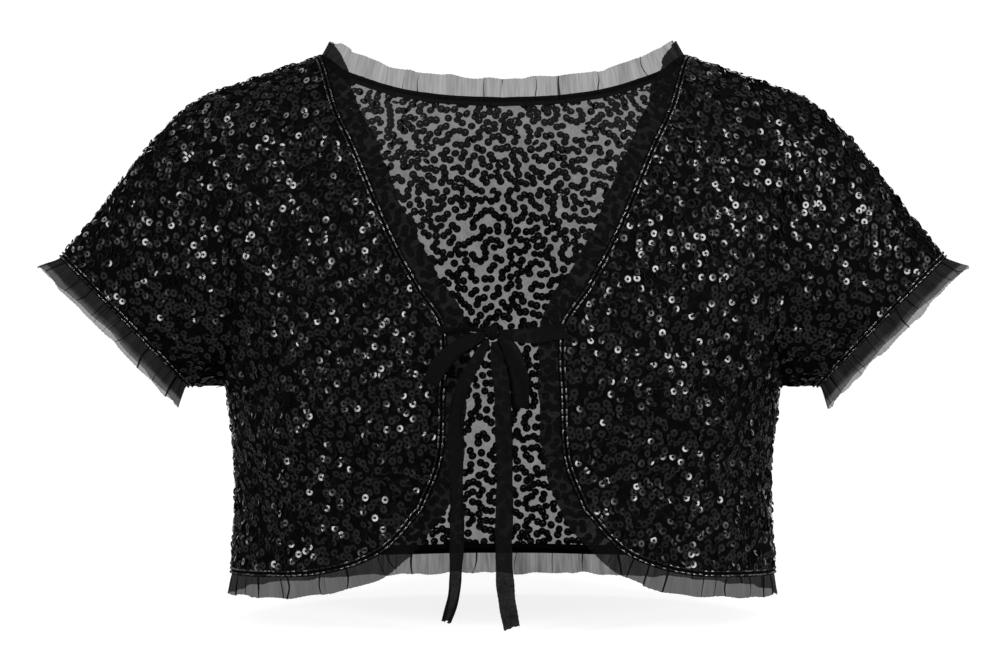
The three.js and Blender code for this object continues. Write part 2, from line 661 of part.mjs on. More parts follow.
// Sections of a ruffle along a line of the torso's cut edge.
// lift is the angle that the ruffle stands out of the cloth, from start to end of the line.
function edgeSections(line, side, lift, sign) {
  const lengths = [0];
  const points = [];
  for (let i = 0; i <= FINE_STEPS; i += 1) {
    const spot = line(i / FINE_STEPS);
    points.push(torsoPoint(spot.turn, spot.climb, side));
    if (i > 0) lengths.push(lengths[i - 1] + points[i].distanceTo(points[i - 1]));
  }
  const whole = lengths[FINE_STEPS];
  const count = Math.round((whole / TUCK_SPACING) * STEPS_A_TUCK);
  const sections = [];
  for (let step = 0; step <= count; step += 1) {
    const target = (whole * step) / count;
    let i = 0;
    while (i < FINE_STEPS - 1 && lengths[i + 1] < target) i += 1;
    const share = (i + (target - lengths[i]) / (lengths[i + 1] - lengths[i])) / FINE_STEPS;
    const spot = line(Math.min(share, 1));
    const normal = torsoNormal(spot, side);
    const before = line(Math.max(share - TANGENT_SHARE, 0));
    const after = line(Math.min(share + TANGENT_SHARE, 1));
    const tangent = torsoPoint(after.turn, after.climb, side)
      .sub(torsoPoint(before.turn, before.climb, side)).normalize();
    const flat = new THREE.Vector3().crossVectors(tangent, normal).multiplyScalar(sign).normalize();
    if (step === 0 || step === count) {
      const end = torsoPoint(spot.turn, spot.climb, side);
      if (Math.abs(end.y) < 1) flat.setY(0).normalize();
    }
    const angle = lift(target, whole);
    const way = flat.clone().multiplyScalar(Math.cos(angle)).addScaledVector(normal, Math.sin(angle));
    const out = normal.clone().multiplyScalar(Math.cos(angle)).addScaledVector(flat, -Math.sin(angle));
    const start = RUFFLE_START + (RUFFLE_WALL / 2) * Math.sin(angle);
    const root = torsoPoint(spot.turn, spot.climb, side)
      .addScaledVector(normal, -PANEL_WALL / 2).addScaledVector(flat, start);
    if (Math.abs(root.y) < 1) root.setY((side * SEAM_GAP) / 2);
    const trim = NECK_TRIM * (1 - THREE.MathUtils.smoothstep(Math.abs(root.y), 0, NECK_TRIM_DEPTH))
      * (root.z > CHEST_HEIGHT ? 1 : 0);
    sections.push({ root, way, out, length: target, trim });
  }
  return sections;
}

const mirrorSections = (sections) => sections.map(({ root, way, out, length, trim }) => ({
  root: mirrorPoint(root),
  way: mirrorPoint(way),
  out: mirrorPoint(out),
  length: length + RIGHT_TUCK_SHIFT,
  trim,
}));

function addRuffles() {
  const edgeThenHem = (share) => (share < EDGE_SHARE
    ? frontEdge(1 - share / EDGE_SHARE)
    : frontHem((share - EDGE_SHARE) / (1 - EDGE_SHARE)));
  const frontLift = (length) => radians(lerp(NECK_STAND, LIE_ANGLE,
    THREE.MathUtils.smoothstep(length, 0, STAND_LENGTH)));
  const front = edgeSections(edgeThenHem, FRONT, frontLift, 1);
  addMesh('ruffle_front_left', ruffleStrip(front, RUFFLE.front), COLOURS.chiffon, 0.8, 0.7);
  addMesh('ruffle_front_right', ruffleStrip(mirrorSections(front), RUFFLE.front), COLOURS.chiffon, 0.8, 0.7);

  const neckLift = (length, whole) => radians(lerp(BACK_STAND, NECK_STAND, (length / whole) ** 2));
  const neck = edgeSections(backNeck, BACK, neckLift, 1);
  addMesh('ruffle_back_neck', ruffleStrip(joinHalves(neck), RUFFLE.neck), COLOURS.chiffon, 0.8, 0.7);

  const hem = edgeSections(backHem, BACK, () => radians(LIE_ANGLE), -1);
  addMesh('ruffle_back_hem', ruffleStrip(joinHalves(hem), RUFFLE.hem), COLOURS.chiffon, 0.8, 0.7);
}

function joinHalves(sections) {
  const whole = sections[sections.length - 1].length;
  const right = sections.slice(1).map((section) => (
    { root: mirrorPoint(section.root), way: mirrorPoint(section.way), out: mirrorPoint(section.out),
      length: whole - section.length, trim: section.trim })).reverse();
  const left = sections.map((section) => ({ ...section, length: whole + section.length }));
  return [...right, ...left];
}

// The cuff ruffle runs down the arm and flares a little, most at its top and bottom; it is widest there
// and narrowest at the front.
function addCuffRuffles() {
  const points = [];
  const steps = FINE_STEPS;
  const cuffAt = (share) => {
    const place = share * LOOP_COUNT;
    const low = Math.floor(place) % LOOP_COUNT;
    const part = place - Math.floor(place);
    return {
      point: sleevePoint(low, 1).lerp(sleevePoint(low + 1, 1), part),
      before: sleevePoint(low, 1 - CUFF_TANGENT).lerp(sleevePoint(low + 1, 1 - CUFF_TANGENT), part),
      normal: sleeveNormal(low, 1).lerp(sleeveNormal(low + 1, 1), part).normalize(),
    };
  };
  const lengths = [0];
  for (let i = 0; i <= steps; i += 1) {
    points.push(cuffAt(i / steps).point);
    if (i > 0) lengths.push(lengths[i - 1] + points[i].distanceTo(points[i - 1]));
  }
  const whole = lengths[steps];
  const count = Math.round(whole / TUCK_SPACING) * STEPS_A_TUCK;
  const sections = [];
  for (let step = 0; step < count; step += 1) {
    const target = (whole * step) / count;
    let i = 0;
    while (i < steps - 1 && lengths[i + 1] < target) i += 1;
    const share = (i + (target - lengths[i]) / (lengths[i + 1] - lengths[i])) / steps;
    const { point, before, normal } = cuffAt(share);
    const flat = point.clone().sub(before);
    flat.addScaledVector(normal, -flat.dot(normal)).normalize();
    const fromCentre = point.clone().sub(new THREE.Vector3(CUFF.across, 0, CUFF.height));
    const towardsEnd = fromCentre.dot(CUFF_ALONG) / CUFF.halfLength;
    const towardsFront = -fromCentre.y / CUFF.halfDepth;
    const spread = normal.clone().addScaledVector(ARM_WAY, -normal.dot(ARM_WAY)).normalize();
    const flare = CUFF_FLARE.least + CUFF_FLARE.atEnds * towardsEnd ** 2;
    const way = ARM_WAY.clone().addScaledVector(spread, flare).normalize();
    const out = spread.clone().addScaledVector(way, -spread.dot(way)).normalize();
    const root = point.clone().addScaledVector(normal, -PANEL_WALL / 2)
      .addScaledVector(flat, RUFFLE_START);
    const trim = CUFF_TRIM.atSides * Math.abs(towardsFront) + CUFF_TRIM.atFront * towardsFront;
    sections.push({ root, way, out, length: target, trim });
  }
  addMesh('ruffle_cuff_left', ruffleStrip(sections, RUFFLE.cuff, true), COLOURS.chiffon, 0.8, 0.7);
  const mirrored = mirrorSections(sections);
  addMesh('ruffle_cuff_right', ruffleStrip(mirrored, RUFFLE.cuff, true), COLOURS.chiffon, 0.8, 0.7);
}

// ---- Bow ----
// Rows down the middle of a ribbon: place, width, and the twist of its face away from the front.
const STRING_LEFT = [
  { across: 39.5, depth: -110.9, height: -170, width: 9, twist: 0 },
  { across: 32, depth: -112.4, height: -171, width: 9.5, twist: 0 },
  { across: 20, depth: -114.6, height: -172.5, width: 10, twist: 8 },
  { across: 8, depth: -115.8, height: -172.5, width: 8, twist: 14 },
  { across: -2.6, depth: -116.3, height: -171, width: 4, twist: 10 },
];
const STRING_RIGHT = [
  { across: -40, depth: -110.9, height: -170, width: 6, twist: 0 },
  { across: -34, depth: -112.5, height: -169.5, width: 5, twist: 25 },
  { across: -24, depth: -114.4, height: -168.6, width: 4, twist: 55 },
  { across: -16, depth: -115.8, height: -169, width: 3.5, twist: 40 },
  { across: -11.4, depth: -116.3, height: -170, width: 3.5, twist: 20 },
];
const LOOP_RIGHT = [
  { across: -11.2, depth: -117.4, height: -172, width: 4, twist: 0 },
  { across: -18, depth: -119.3, height: -174.6, width: 8, twist: 4 },
  { across: -28, depth: -120.6, height: -179.6, width: 9.5, twist: 6 },
  { across: -37.5, depth: -120.8, height: -189, width: 10, twist: 4 },
  { across: -43.5, depth: -119.6, height: -199.5, width: 10, twist: 0 },
  { across: -44.8, depth: -117.9, height: -202.6, width: 10, twist: 0 },
  { across: -43.2, depth: -116.6, height: -199, width: 10, twist: 0 },
  { across: -36.8, depth: -116.4, height: -189, width: 10, twist: -3 },
  { across: -27, depth: -116.6, height: -181, width: 9, twist: -4 },
  { across: -17.4, depth: -116.2, height: -176, width: 7, twist: -3 },
  { across: -10.6, depth: -115.7, height: -174.2, width: 3.6, twist: 0 },
];
const LOOP_LEFT = [
  { across: -2.6, depth: -117.6, height: -172.6, width: 4, twist: 0 },
  { across: 3.2, depth: -119.4, height: -179, width: 9, twist: 4 },
  { across: 8, depth: -120.4, height: -190, width: 11.5, twist: 8 },
  { across: 10.6, depth: -120.2, height: -203, width: 11.5, twist: 6 },
  { across: 11.2, depth: -119.2, height: -214.4, width: 10, twist: 0 },
  { across: 11.1, depth: -117.7, height: -217.4, width: 9.5, twist: 0 },
  { across: 10.4, depth: -116.5, height: -213.6, width: 10, twist: 0 },
  { across: 9.4, depth: -116.4, height: -203, width: 11, twist: -4 },
  { across: 6.4, depth: -116.8, height: -190, width: 10.5, twist: -6 },
  { across: 1.2, depth: -117, height: -180.6, width: 7.5, twist: -4 },
  { across: -2.9, depth: -116.2, height: -175, width: 3.6, twist: 0 },
];
const TAIL_RIGHT = [
  { across: -9.6, depth: -118.4, height: -175.6, width: 4, twist: 0 },
  { across: -15.5, depth: -123, height: -186, width: 7.5, twist: 10 },
  { across: -24, depth: -123.4, height: -202, width: 8.5, twist: 14 },
  { across: -28.8, depth: -119.5, height: -222, width: 8.6, twist: 10 },
  { across: -29, depth: -117.5, height: -245, width: 8.8, twist: -6 },
  { across: -28.6, depth: -116.8, height: -268, width: 8.6, twist: 8 },
  { across: -28.2, depth: -116.2, height: -292, width: 8.8, twist: -4 },
  { across: -28.8, depth: -115.6, height: -314, width: 8.6, twist: 10 },
  { across: -30.4, depth: -115, height: -334, width: 8.8, twist: 0 },
  { across: -35, depth: -114.4, height: -350, width: 8.6, twist: 0 },
];
const TAIL_LEFT = [
  { across: -5.4, depth: -118.6, height: -176.2, width: 4, twist: 0 },
  { across: -3.6, depth: -123, height: -187, width: 8, twist: -8 },
  { across: -1, depth: -123.6, height: -202, width: 10, twist: -12 },
  { across: 0.2, depth: -121.6, height: -222, width: 10.6, twist: 8 },
  { across: 0.8, depth: -119.4, height: -245, width: 10.4, twist: 14 },
  { across: 1, depth: -118, height: -268, width: 10.6, twist: 0 },
  { across: 0.6, depth: -117, height: -292, width: 10.8, twist: -12 },
  { across: 0.8, depth: -116.2, height: -316, width: 10.6, twist: 6 },
  { across: 2.4, depth: -115.6, height: -336, width: 10.8, twist: 0 },
  { across: 5.6, depth: -115, height: -354, width: 11, twist: 0 },
];

// A ribbon through a table's rows, flat in the plane of the front before it is twisted.
function ribbon(rows, steps) {
  const knots = [0];
  for (let i = 1; i < rows.length; i += 1) {
    const [a, b] = [rows[i - 1], rows[i]];
    knots.push(knots[i - 1] + Math.hypot(b.across - a.across, b.depth - a.depth, b.height - a.height));
  }
  const whole = knots[knots.length - 1];
  const value = (key, at) => smoothValue(knots, rows.map((row) => row[key]), at);
  const place = (at) => new THREE.Vector3(value('across', at), value('depth', at), value('height', at));
  const outer = [];
  const inner = [];
  let side = null;
  for (let step = 0; step <= steps; step += 1) {
    const at = (whole * step) / steps;
    const centre = place(at);
    const way = place(Math.min(at + 0.5, whole)).sub(place(Math.max(at - 0.5, 0))).normalize();
    const facing = new THREE.Vector3(0, -1, 0);
    const width = new THREE.Vector3().crossVectors(way, facing);
    if (width.length() < 0.2 && side) width.copy(side);
    width.normalize();
    if (side && width.dot(side) < 0) width.negate();
    side = width.clone();
    width.applyAxisAngle(way, radians(value('twist', at)));
    const thick = new THREE.Vector3().crossVectors(way, width).normalize();
    const half = value('width', at) / 2;
    outer.push([-1, 1].map((end) => centre.clone().addScaledVector(width, end * half)
      .addScaledVector(thick, RIBBON_WALL / 2)));
    inner.push([-1, 1].map((end) => centre.clone().addScaledVector(width, end * half)
      .addScaledVector(thick, -RIBBON_WALL / 2)));
  }
  return wallBetween(outer, inner);
}

function addBow() {
  addMesh('tie_string_left', ribbon(STRING_LEFT, 10), COLOURS.ribbon, 0.7);
  addMesh('tie_string_right', ribbon(STRING_RIGHT, 10), COLOURS.ribbon, 0.7);
  addMesh('bow_loop_right', ribbon(LOOP_RIGHT, 26), COLOURS.ribbon, 0.7);
  addMesh('bow_loop_left', ribbon(LOOP_LEFT, 26), COLOURS.ribbon, 0.7);
  addMesh('tail_right', ribbon(TAIL_RIGHT, 22), COLOURS.ribbon, 0.7);
  addMesh('tail_left', ribbon(TAIL_LEFT, 22), COLOURS.ribbon, 0.7);
  const knot = new THREE.SphereGeometry(1, 14, 9);
  knot.scale(KNOT.halfWidth, KNOT.halfDepth, KNOT.halfHeight);
  knot.translate(KNOT.across, KNOT.depth, KNOT.height);
  addMesh('tie_knot', knot, COLOURS.ribbon, 0.7);
}

addFronts();
addBack();
addBands();
addSleeves();
addRuffles();
addCuffRuffles();
addBow();

const bolero = new THREE.Group();
bolero.name = 'cropped_blouse';
bolero.add(...meshes);

export default bolero;
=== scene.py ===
import math

import bpy
import numpy as np
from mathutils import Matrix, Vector
from mathutils.kdtree import KDTree


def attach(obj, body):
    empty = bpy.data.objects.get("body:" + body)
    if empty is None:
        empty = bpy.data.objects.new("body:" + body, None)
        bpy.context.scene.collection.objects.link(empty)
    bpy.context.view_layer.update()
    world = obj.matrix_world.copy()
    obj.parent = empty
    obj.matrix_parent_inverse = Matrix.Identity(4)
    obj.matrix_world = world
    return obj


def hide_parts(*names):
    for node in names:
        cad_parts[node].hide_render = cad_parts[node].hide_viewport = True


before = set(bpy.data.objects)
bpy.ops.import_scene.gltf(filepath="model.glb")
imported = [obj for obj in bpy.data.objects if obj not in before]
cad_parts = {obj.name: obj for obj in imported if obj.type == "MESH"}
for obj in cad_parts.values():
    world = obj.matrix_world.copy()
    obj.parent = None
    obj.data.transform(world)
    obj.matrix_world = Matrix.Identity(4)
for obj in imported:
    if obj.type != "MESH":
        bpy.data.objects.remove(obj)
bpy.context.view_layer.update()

# ---- Camera, floor and light ----
# A plain white studio: a long lens level with the neck looks a little down at the front, the floor and the
# backdrop run into each other, and small softboxes stand front left, front right and behind, so that the
# few sequins that face them flash while the rest stay black.
MM = 0.001
CAMERA_AIM = (0.64 * MM, 0.0, -183 * MM)
CAMERA_REACH, CAMERA_RISE = 2.6, math.radians(5)
FLOOR_HEIGHT, FLOOR_HALF = -0.364, 1.3
FLOOR_GLOW, BACKDROP_GLOW, ROOM_GLOW = 0.825, 1.05, 0.025
WHITE = (1, 1, 1, 1)
SOFTBOX_REACH = 3.0
# degrees right of the camera's way, degrees up, width, height, radiance
SOFTBOXES = {
    "left_softbox": (-40, 13, 0.46, 2.8, 17.0),
    "right_softbox": (45, 14, 0.60, 2.9, 17.0),
    "left_fill": (-68, 10, 0.42, 2.2, 2.8),
    "right_fill": (72, 10, 0.42, 2.2, 2.6),
    "centre_fill": (4, 38, 1.0, 0.45, 1.5),
    "left_side_softbox": (-128, 2, 0.6, 1.2, 2.2),
    "right_side_softbox": (130, 2, 0.6, 1.2, 2.2),
    "left_top_softbox": (-100, 45, 1.0, 0.6, 3.5),
    "right_top_softbox": (100, 45, 1.0, 0.6, 3.5),
    "back_left_softbox": (163, 8, 0.6, 1.2, 2.2),
    "back_right_softbox": (199, 8, 0.7, 1.2, 2.2),
}


def placed(name, data):
    """A new object of the scene for a camera, a lamp or a mesh."""
    thing = bpy.data.objects.new(name, data)
    bpy.context.collection.objects.link(thing)
    return thing


def set_sockets(tree, node, sockets):
    """Gives each named socket of a node its value, or links it to the output that feeds it."""
    for socket, given in sockets.items():
        if isinstance(given, bpy.types.NodeSocket):
            tree.links.new(given, node.inputs[socket])
        else:
            node.inputs[socket].default_value = given


def add(tree, kind, sockets, **settings):
    """A new node of a kind, with its settings made and its sockets filled."""
    node = tree.nodes.new("ShaderNode" + kind)
    for name, value in settings.items():
        setattr(node, name, value)
    set_sockets(tree, node, sockets)
    return node


def plain_material(name, colour, roughness, specular=0.5):
    """A material, its tree and its shader, with one colour, roughness and specular level set on it."""
    material = bpy.data.materials.new(name)
    material.use_nodes = True
    tree = material.node_tree
    shader = next(node for node in tree.nodes if node.type == "BSDF_PRINCIPLED")
    shader.inputs["Base Color"].default_value = (*colour, 1.0)
    shader.inputs["Roughness"].default_value = roughness
    shader.inputs["Specular IOR Level"].default_value = specular
    return material, tree, shader


camera_data = bpy.data.cameras.new("camera")
camera_data.lens = 145.1
camera_data.sensor_width = 36.0
camera_data.clip_end = 200.0
camera = placed("camera", camera_data)
camera.location = (
    CAMERA_AIM[0],
    CAMERA_AIM[1] - CAMERA_REACH * math.cos(CAMERA_RISE),
    CAMERA_AIM[2] + CAMERA_REACH * math.sin(CAMERA_RISE),
)
camera.rotation_euler = (math.pi / 2 - CAMERA_RISE, 0.0, 0.0)
bpy.context.scene.camera = camera
bpy.context.scene.view_settings.view_transform = "Standard"
bpy.context.scene.view_settings.look = "None"

floor_mesh = bpy.data.meshes.new("floor")
floor_signs = [(-1, -1), (1, -1), (1, 1), (-1, 1)]
floor_corners = [(x * FLOOR_HALF, y * FLOOR_HALF, FLOOR_HEIGHT) for x, y in floor_signs]
floor_mesh.from_pydata(floor_corners, [], [(0, 1, 2, 3)])
floor_white, floor_tree, floor_shader = plain_material("floor_white", (0.36, 0.36, 0.36), 0.9)
floor_seen = add(floor_tree, "LightPath", {}).outputs["Is Camera Ray"]
floor_glow = add(floor_tree, "Math", {0: floor_seen, 1: FLOOR_GLOW}, operation="MULTIPLY")
set_sockets(floor_tree, floor_shader, {"Emission Color": WHITE, "Emission Strength": floor_glow.outputs[0]})
floor_mesh.materials.append(floor_white)
placed("floor", floor_mesh)

world = bpy.data.worlds.new("studio")
bpy.context.scene.world = world
world.use_nodes = True
room = world.node_tree
room.nodes.clear()
backdrop, room_light = (
    add(room, "Background", {"Color": WHITE, "Strength": glow}) for glow in (BACKDROP_GLOW, ROOM_GLOW)
)
room_seen = add(room, "LightPath", {}).outputs["Is Camera Ray"]
seen_or_lit = add(room, "MixShader", {0: room_seen, 1: room_light.outputs[0], 2: backdrop.outputs[0]})
add(room, "OutputWorld", {"Surface": seen_or_lit.outputs[0]})

for name, (turn, rise, width, height, radiance) in SOFTBOXES.items():
    light = bpy.data.lights.new(name, "AREA")
    light.shape = "RECTANGLE"
    light.size, light.size_y = width, height
    light.energy = radiance * math.pi * width * height
    lamp = placed(name, light)
    turn, rise = math.radians(turn), math.radians(rise)
    way = Vector((math.sin(turn) * math.cos(rise), -math.cos(turn) * math.cos(rise), math.sin(rise)))
    lamp.location = Vector(CAMERA_AIM) + way * SOFTBOX_REACH
    lamp.rotation_euler = way.to_track_quat("Z", "Y").to_euler()
    lamp.visible_camera = False
sky = bpy.data.lights.new("overhead", "SUN")
sky.energy = 0.5
sky.angle = math.radians(90)
placed("overhead", sky).rotation_euler = (math.radians(-8), 0.0, 0.0)

# ---- The worn form ----
# The bolero is filled out by a body that isn't there, so every panel lies on one smooth form: an oval
# below the chest that closes over the shoulders, with soft drag folds where the cloth hangs from them.
# Lengths are in millimetres; turn runs from the side seam to the centre, climb from the hem upwards.
FRONT, BACK = -1, 1
CHEST_HEIGHT, UNDERARM_HEIGHT = -190.0, -216.0
CROWN_RUN = 230.0
CROWN_TOP = CHEST_HEIGHT + CROWN_RUN
SHOULDER_SPAN = 228.0
NECK_POINT_ACROSS, NECK_POINT_HEIGHT = 117.0, -4.0
SHOULDER_SLOPE, SHOULDER_ROUNDING = 0.35, 40.0
GIRTH_SCALE = 110.0
QUARTER = math.pi / 2

# height, half width, front depth, back depth
TORSO_RINGS = np.array([
    (-352, 176.5, 101, 98), (-336, 175.5, 101, 97), (-275, 172.5, 104, 94), (-232, 176, 110, 98),
    (-190, 183, 113, 102), (-150, 200, 113, 102), (-110, 213, 113, 102), (-30, 228, 113, 102),
    (30, 232, 113, 102),
], dtype=float)

# from across, from height, to across, to height, depth, spread: the long folds of each side first, and
# then the finer creases between them. Each is a soft trough or ridge, and none is like another.
FOLDS = {
    FRONT: [
        (168, -222, 96, -176, -2.4, 10), (160, -250, 92, -206, 2.0, 12), (150, -150, 118, -60, -2.0, 11),
        (128, -240, 136, -330, 2.2, 13), (96, -235, 98, -318, -1.8, 12), (172, -262, 124, -246, -0.9, 5),
        (150, -206, 112, -168, 0.9, 5), (112, -262, 116, -310, 0.8, 5), (152, -272, 158, -326, -1.0, 6),
        (78, -246, 84, -292, 0.7, 6), (128, -120, 112, -76, 0.8, 5), (160, -176, 132, -150, -0.9, 5),
    ],
    BACK: [
        (166, -224, 104, -188, -2.4, 11), (142, -170, 120, -76, -2.0, 12), (118, -236, 124, -336, 2.2, 14),
        (52, -250, 56, -336, -2.0, 13), (170, -250, 122, -232, -0.9, 6), (152, -200, 118, -160, 0.9, 6),
        (84, -262, 88, -326, 1.0, 7), (146, -262, 152, -322, -1.0, 6), (18, -268, 22, -322, 0.8, 8),
        (104, -112, 84, -60, 0.8, 7), (40, -128, 62, -180, -0.8, 10),
    ],
}
FOLD_HELD = 0.3


def running_sum(steps):
    """0, and then the sum of the steps so far."""
    return np.concatenate([[0], np.cumsum(steps)])


def smooth_value(knots, values, at):
    """A smooth cubic through table rows: at each knot the slope is that of the chord between its
    neighbours, and between two knots the value is the Hermite cubic with those slopes."""
    at = np.asarray(at, float)
    last = len(knots) - 1
    row = np.arange(last + 1)
    before, after = np.maximum(row - 1, 0), np.minimum(row + 1, last)
    slope = (values[after] - values[before]) / (knots[after] - knots[before])
    row = np.clip(np.searchsorted(knots, at) - 1, 0, last - 1)
    run = knots[row + 1] - knots[row]
    s = np.clip((at - knots[row]) / run, 0, 1)
    rise = s * s * (3 - 2 * s)
    leave = s * (1 - s) ** 2 * run * slope[row]
    arrive = s * s * (s - 1) * run * slope[row + 1]
    return values[row] + rise * (values[row + 1] - values[row]) + leave + arrive


def smoothstep(x):
    """0 below 0, 1 above 1, and 3x^2 - 2x^3 between."""
    x = np.clip(x, 0, 1)
    return x * x * (3 - 2 * x)


def unit(vectors):
    """Each vector divided by its length."""
    return vectors / np.maximum(np.linalg.norm(vectors, axis=-1, keepdims=True), 1e-9)


def ring_value(column, height):
    """A column of the rings' table, smoothed over the height."""
    return smooth_value(TORSO_RINGS[:, 0], TORSO_RINGS[:, column], height)


def shoulder_height(across):
    """The shoulder line: level over the neck, then falling evenly: a hyperbola in across."""
    run = np.hypot(across, SHOULDER_ROUNDING) - math.hypot(NECK_POINT_ACROSS, SHOULDER_ROUNDING)
    return NECK_POINT_HEIGHT - SHOULDER_SLOPE * run


def fold_rise(across, height, side):
    """The sum of the folds: each is its depth times a bell over the distance beside its line, times a
    bell over the distance past the held middle part of the line."""
    rise = np.zeros(np.shape(across))
    for x0, z0, x1, z1, depth, spread in FOLDS[side]:
        length = math.hypot(x1 - x0, z1 - z0)
        along = ((across - x0) * (x1 - x0) + (height - z0) * (z1 - z0)) / length**2
        aside = ((across - x0) * (z1 - z0) - (height - z0) * (x1 - x0)) / length
        past = np.maximum(np.abs(along - 0.5) - FOLD_HELD, 0) * length
        rise += depth * np.exp(-((aside / spread) ** 2)) * np.exp(-((past / (2 * spread)) ** 2))
    return rise


def torso(turn, climb, side):
    """The cloth's outer face: x is the ring's half width times cos turn; y its depth times sin turn, and
    past the chest also times the cosine of the crown angle, which carries the height up to the shoulder."""
    crown = np.maximum(climb - CHEST_HEIGHT, 0) / CROWN_RUN * QUARTER
    top = shoulder_height(SHOULDER_SPAN * np.cos(turn))
    height = np.where(climb < CHEST_HEIGHT, climb, CHEST_HEIGHT + (top - CHEST_HEIGHT) * np.sin(crown))
    across = ring_value(1, height) * np.cos(turn)
    depth = ring_value(2 if side == FRONT else 3, height) * np.sin(turn) * np.cos(crown)
    rise = fold_rise(across, height, side) * smoothstep(turn / math.radians(30)) * np.cos(crown)
    x = across + rise * np.cos(turn)
    y = side * (depth + rise * np.sin(turn))
    return np.stack([x, y, height], axis=-1)


def torso_slopes(turn, climb, side):
    """The change of the form's point with turn and with climb, over a small step."""
    step = 1e-3
    climb = np.minimum(climb, CROWN_TOP - 2)
    here = torso(turn, climb, side)
    return (torso(turn + step, climb, side) - here) / step, (torso(turn, climb + step, side) - here) / step


def cloth_at(spots, side):
    """The outer face's points at spots of turn and climb, and the way out of the cloth at each: the cross
    product of the two slopes, level at the seams."""
    turn, climb = spots[..., 0], spots[..., 1]
    round_way, up_way = torso_slopes(turn, climb, side)
    normal = unit(np.cross(round_way, up_way)) * side
    level = (climb > CROWN_TOP - 2) | (turn < 1e-6)
    normal[..., 1] = np.where(level, 0, normal[..., 1])
    return torso(turn, climb, side), unit(normal)


def on_torso(across, height):
    """The turn and climb of a spot given by its distance from the centre line and its height; a height of
    None lies on the shoulder seam."""
    if height is None:
        turn = math.acos(across / SHOULDER_SPAN)
        for _ in range(8):
            level = shoulder_height(SHOULDER_SPAN * math.cos(turn))
            turn = math.acos(across / float(ring_value(1, level)))
        return turn, CROWN_TOP
    turn = math.acos(min(across / float(ring_value(1, height)), 1))
    if height <= CHEST_HEIGHT:
        return turn, height
    top = float(shoulder_height(SHOULDER_SPAN * math.cos(turn)))
    crown = math.asin(min((height - CHEST_HEIGHT) / (top - CHEST_HEIGHT), 1))
    return turn, CHEST_HEIGHT + CROWN_RUN * crown / QUARTER


def line_on_torso(spots):
    """A smooth line through spots of the form, as a function of the share of its length."""
    spots = np.array(spots, float)
    knots = running_sum(np.hypot(GIRTH_SCALE * np.diff(spots[:, 0]), np.diff(spots[:, 1])))

    def line(share):
        """Turn and climb, each a smooth value over the steps' lengths, kept on the form."""
        at = np.asarray(share, float) * knots[-1]
        turn = np.maximum(smooth_value(knots, spots[:, 0], at), 0)
        climb = np.minimum(smooth_value(knots, spots[:, 1], at), CROWN_TOP)
        return np.stack([turn, climb], axis=-1)

    return line


# ---- Back and fronts: fine black net, the ground that carries the sequins ----
# The back is one piece of sheer net between its side seams. Each front has a deep V neck and a rounded hem
# corner, and all are seamed at the sides and shoulders. The fronts and sleeves are made of a nearly black,
# nearly opaque
# net: painted shade for the dark inside of the garment that shows through them.
NET_BELOW_FACE = 1.0
# the scales of the two noises and the range of their sum; a wave's pitch at scale 1, a thread's height
SLOW_NOISE, FAST_NOISE, NOISE_LOW, NOISE_HIGH = 90.0, 620.0, 0.7, 1.3
BAND_PITCH, THREAD_RISE = 0.314, 0.0002
SIDE_SHARE = 0.3
PANEL_ROWS = 81
FRONT_COLUMNS, BACK_COLUMNS = 49, 71

# across, height
FRONT_EDGE = [
    (117, None), (104.5, -31), (92.5, -55.5), (71, -104.5), (51, -142),
    (37.5, -161), (34.5, -171), (35, -207), (37.5, -251), (49.5, -283),
]
FRONT_HEM = [(49.5, -283), (76, -311), (112, -325.5), (150, -331)]
ARMHOLE = [(190, None), (181, -62), (173, -108), (170, -150), (173, -188)]
BACK_NECK = [(0, -32), (20, -31.3), (42.5, -29.6), (68, -25.3), (90.5, -18), (104.5, -11.5), (117, None)]
BACK_HEM_HEIGHT, SIDE_FOOT = -336.5, -336.0
BAND_SETBACK = 5.3
NECK_SHARE = 10 / 14
FORWARDS, BACKWARDS = (0, -1, 0), (0, 1, 0)

front_edge = line_on_torso([on_torso(*row) for row in FRONT_EDGE[::-1]])
front_hem = line_on_torso([on_torso(*row) for row in FRONT_HEM] + [(0, SIDE_FOOT)])
armhole = line_on_torso([(0, UNDERARM_HEIGHT)] + [on_torso(*row) for row in ARMHOLE[::-1]])
back_neck = line_on_torso([on_torso(*row) for row in BACK_NECK])
neck_turn, tip_turn = on_torso(*FRONT_EDGE[0])[0], on_torso(*ARMHOLE[0])[0]


def back_hem(share):
    """The back hem, from the centre to the side seam, on a straight line of turn and climb."""
    share = np.asarray(share, float)
    return np.stack([QUARTER * (1 - share), BACK_HEM_HEIGHT + share * (SIDE_FOOT - BACK_HEM_HEIGHT)], axis=-1)


def above_hem(share, distance):
    """A spot a distance above the back hem."""
    return back_hem(share) + np.array([0, distance])


def side_line(foot):
    """A panel's outer edge: straight up the side seam to the underarm, and on up the armhole."""

    def line(share):
        """The seam by an even climb, and past its share the armhole's own line."""
        share = np.asarray(share, float)
        seam = np.stack([0 * share, foot + (UNDERARM_HEIGHT - foot) * share / SIDE_SHARE], axis=-1)
        hole = armhole(np.maximum(share - SIDE_SHARE, 0) / (1 - SIDE_SHARE))
        return np.where((share < SIDE_SHARE)[..., None], seam, hole)

    return line


def shoulder_from(start_turn):
    """The shoulder seam, evenly from a given turn out to the armhole."""
    return lambda u: np.stack([start_turn + u * (tip_turn - start_turn), CROWN_TOP + 0 * u], axis=-1)


